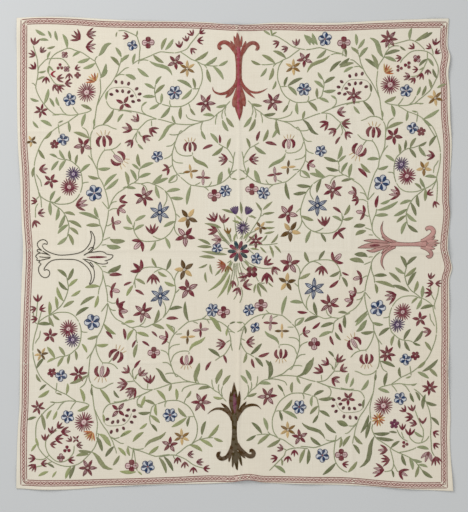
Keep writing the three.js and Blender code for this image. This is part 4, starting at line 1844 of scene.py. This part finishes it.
RIGHT_ORNAMENT = """
rose  contour 486,36,7 466,40,11 450,51,11 442,64,8 440,80,6 445,99,1
rose  contour 477,34,8 456,42,9 440,52,3
rose  contour 484,22,7 463,14,11 450,3,10 442,-12,8 441,-30,6 450,-49,1
rose  contour 474,24,9 453,14,10 439,1,3
rose  contour 462,34,7 430,38,12 404,40,9 386,40,2
rose  contour 462,24,7 432,15,12 412,9,10 394,11,2
rose  contour 468,29,8 435,27,17 405,25,17 385,22,11 368,18,2
rose  contour 462,29,16 482,30,15 505,29,12 535,29,12 556,30,16 578,31,22
rose  contour 556,38,8 575,45,14 590,56,15 596,68,15 589,78,14 577,77,12 573,70,8
rose  contour 556,21,8 574,16,12 587,6,13 589,-4,12 582,-9,11 575,-4,7
rose  contour 570,40,10 590,46,10 601,52,4
rose  contour 570,22,10 588,18,10 600,15,5
rose  contour 574,36,9 595,39,9 610,41,3
rose  contour 574,27,9 592,26,9 606,25,4
rose  contour 578,31,10 600,32,8 615,33,2
wine  -      446,27,1 430,26,8 412,25,9 395,23,1
"""
LEFT_ORNAMENT_ROWS = """
-578,28 -570,31 -563,29 -563,37 -573,43 -585,40 -592,31 -589,20 -581,13 -577,9
-578,28 -574,18 -563,9 -548,2 -528,-3 -508,-3 -488,-1 -468,3 -452,11 -440,24 -432,40 -430,56 -434,70
-434,70 -427,64 -421,51 -420,38 -423,25 -430,13 -440,4 -454,-4
-441,11 -432,19 -423,19 -428,9 -438,3
-454,-5 -440,3 -420,6 -404,8 -391,5 -385,0 -374,-2 -365,-4 -370,-13 -380,-18 -392,-21
-385,-22 -381,-27 -392,-30 -406,-29 -420,-24 -438,-18 -458,-15
-573,-50 -565,-47 -557,-50 -555,-59 -560,-68 -570,-71 -581,-65 -588,-52 -587,-38 -579,-29
-573,-49 -569,-39 -559,-27 -546,-19 -526,-16 -500,-16 -480,-17 \
-463,-23 -449,-33 -437,-47 -431,-62 -431,-77 -437,-92
-437,-93 -427,-85 -422,-72 -421,-58 -423,-46 -430,-35 -440,-25 -452,-18
-438,-24 -431,-36 -424,-40 -427,-31 -436,-23
-577,10 -590,14 -592,8 -582,3 -590,1 -597,-7 -592,-13 -594,-19 -583,-19 -588,-25 -579,-29
-582,3 -566,0 -552,-5
-588,-8 -570,-10 -550,-9
-583,-19 -566,-15 -552,-12
-577,10 -568,4 -558,-1
"""


def bands(text):
    """Lines of a fill dye, an outline dye (a dash is none) and points of x, y and width."""
    for line in text.strip().splitlines():
        fill, rim, *points = line.split()
        yield fill, None if rim == "-" else rim, np.array([point.split(",") for point in points], float)


def on_cloth(points):
    """The lay of what is given in millimetres on the cloth itself."""
    return points / 1000


for name, text in (("far", FAR_ORNAMENT), ("near", NEAR_ORNAMENT), ("right", RIGHT_ORNAMENT)):
    ornament = Needle()
    for order, (fill, rim, points) in enumerate(bands(text)):
        ornament.strand(on_cloth, points, fill, rim, 0.0011 + 0.00004 * order)
    ornament.finish(f"{name}_ornament", satin_thread)
outline_needle = Needle()
for route in routes(LEFT_ORNAMENT_ROWS):
    outline_needle.row(on_cloth, route, "ink", 3.3)
outline_needle.petals(on_cloth, (-446, -10), (-382, -9), 8.0, "wine", (0.8, 0.8))
outline_needle.finish("left_ornament", satin_thread)

# The bouquet in the middle: one large daisy of ten petals with small flowers round it on thin stems,
# grassy leaves on its left and sprigs on its right, all in satin and chain stitch. Its places are in
# millimetres on the cloth.
BOUQUET_FLOWERS = rows("""
    kind    x    y    size turn marks  dye
    rosette -53  17   16   60   hhhhh  b
    rosette 65   -14  17   80   hhhhh  b
    rosette 51   -54  19   45   xxxx   w
    star    77   80   20   55   pxpxx  g
    star    63   40   23   30   xxoxox w
    tulip   -66  111  29   115  xoxx   w
    tulip   -33  106  26   80   xox    w
    tulip   -68  72   31   172  xxx    w
    tulip   -55  43   28   180  ooo    w
    tulip   -21  70   20   105  xxx    k
    tulip   -20  -46  21   -85  xxx    k
    tulip   100  -22  28   40   xxx    w
    tulip   121  -50  26   -60  xox    w
    tulip   96   -74  34   -90  xxx    w
    tulip   23   -69  26   190  oxo    w
    tulip   39   -93  28   10   xox    w
    tulip   -6   -91  22   -95  xxx    w
    tulip   8    -112 24   -112 xox    w
""")
BOUQUET_STEMS = """
-2,-26 -6,-52 -10,-70 -22,-124
1,-26 -1,-56 -4,-80
5,-26 4,-60 10,-84 8,-102
9,-25 10,-50 18,-74
13,-24 18,-48 32,-86
18,-22 26,-40 40,-52
24,-18 40,-36 60,-62 72,-84
72,-84 82,-88 92,-86
29,-15 50,-32 84,-43 118,-41
18,-98 23,-115 20,-134 14,-148
6,-122 -4,-138
-10,-18 -24,-28
-6,-22 -16,-44
8,44 2,80 0,112
14,44 22,56
20,42 30,80 38,112
-6,36 -18,56 -20,66
-10,34 -28,70 -34,94
-14,30 -40,60 -60,92
-16,26 -36,52 -54,70
-14,24 -30,38 -42,42
-18,16 -36,17
30,38 44,60 66,72
34,34 48,42
38,20 48,8 58,0
30,40 50,70 76,112 80,140
76,112 90,120
40,26 70,28 100,28 130,32
70,28 84,40 96,56
"""
BOUQUET_LEAVES = """
olive -72,27>-112,45 olive -68,21>-114,22 olive -22,-2>-102,9 olive -58,-12>-108,-8 olive -82,-30>-110,-42
olive -74,-30>-67,-62 olive -88,-54>-83,-87 olive -40,78>-92,92 olive -4,122>-40,134 fresh -8,100>26,86
olive -26,38>-50,66 olive -12,40>-16,66 fresh 2,116>24,98 olive 40,114>66,108 olive 62,104>48,118
olive 20,120>16,158 olive 80,128>62,156 olive 84,132>114,158 olive 84,120>120,125 olive 90,96>119,97
olive 90,80>121,80 olive 88,62>120,68 olive 84,38>98,58 olive 108,32>130,61 olive 104,26>115,-12
olive 118,26>139,2 olive 76,22>96,2 fresh 46,16>74,12 olive 40,40>62,62 fresh -10,-20>-24,-42
fresh -20,-50>-82,-112 fresh -14,-58>-54,-134 fresh -8,-78>-22,-122 fresh -14,-40>-50,-92
olive 68,-86>98,-116
olive 68,-88>80,-130 olive 64,-90>58,-118 olive 100,-84>116,-99 olive 44,-36>62,-44 fresh 30,-20>44,-40
fresh -2,36>6,64 fresh 26,44>44,66 olive -40,-44>-60,-66
"""
BOUQUET_STEM_ROW = 0.0034
BOUQUET_LEAF_WIDTH = {"share": 0.24, "least": 5.0, "most": 11.0}
FAN_FOOT = np.array([-26, -32])
PURPLE_DAISY_MIDDLE = np.array([24, 78])
LARGE_DAISY_MIDDLE = np.array([11, 8])
PURPLE_TULIPS = rows("""
    x  y   turn
    4  118 106
    34 118 62
""")

bouquet = Needle()
for route in routes(BOUQUET_STEMS):
    chain_row(bouquet.work("stem"), on_cloth(route), BOUQUET_STEM_ROW, DYES["stem"])
words = BOUQUET_LEAVES.split()
for green, pair in zip(words[0::2], words[1::2]):
    stalk, tip = leaf_pairs(pair)
    width = leaf_widths(stalk, tip, BOUQUET_LEAF_WIDTH)
    form = {"blunt": (0.8, 1.0), "bow": chance.uniform(-0.1, 0.1), "profile": SATIN_LEAF}
    bouquet.petals(on_cloth, stalk, tip, width, green, **form)
for row in BOUQUET_FLOWERS:
    shape = SHAPES[row["kind"]]
    centre = np.array([row["x"], row["y"]])
    shape(bouquet, on_cloth, centre, row["size"], row["turn"], row["marks"], DYE_SETS[row["dye"]])
for turns, dye in (((146, 164, 182), "rust"), ((200, 220, 240), "brick")):
    bouquet.petals(on_cloth, *rays(FAN_FOOT, 1.0, 30.0, turns), 6.0, dye, (0.7, 0.9))
for row in PURPLE_TULIPS:
    foot = np.array([row["x"], row["y"]])
    base, tip = rays(foot, 0.0, 27.0, row["turn"] + np.linspace(-27, 27, 5))
    bouquet.petals(on_cloth, base, tip, 9.5, "purple", (0.8, 0.8))
daisy(bouquet, on_cloth, PURPLE_DAISY_MIDDLE, 22.0, 6.0, ["purple"] * 17, "lilac", 0.528)
for first_turn, dye in ((0, "claret"), (36, "teal")):
    base, tip = rays(LARGE_DAISY_MIDDLE, 5.0, 33.0, np.arange(first_turn, 360, 72))
    bouquet.petals(on_cloth, base, tip, 13.5, dye, (0.8, 0.5))
bouquet.ring(on_cloth, LARGE_DAISY_MIDDLE, 5.5, "rose", 3.0)
bouquet.dot(on_cloth, LARGE_DAISY_MIDDLE, 7.0, "blush", 0.0012)
bouquet.finish("bouquet", satin_thread)
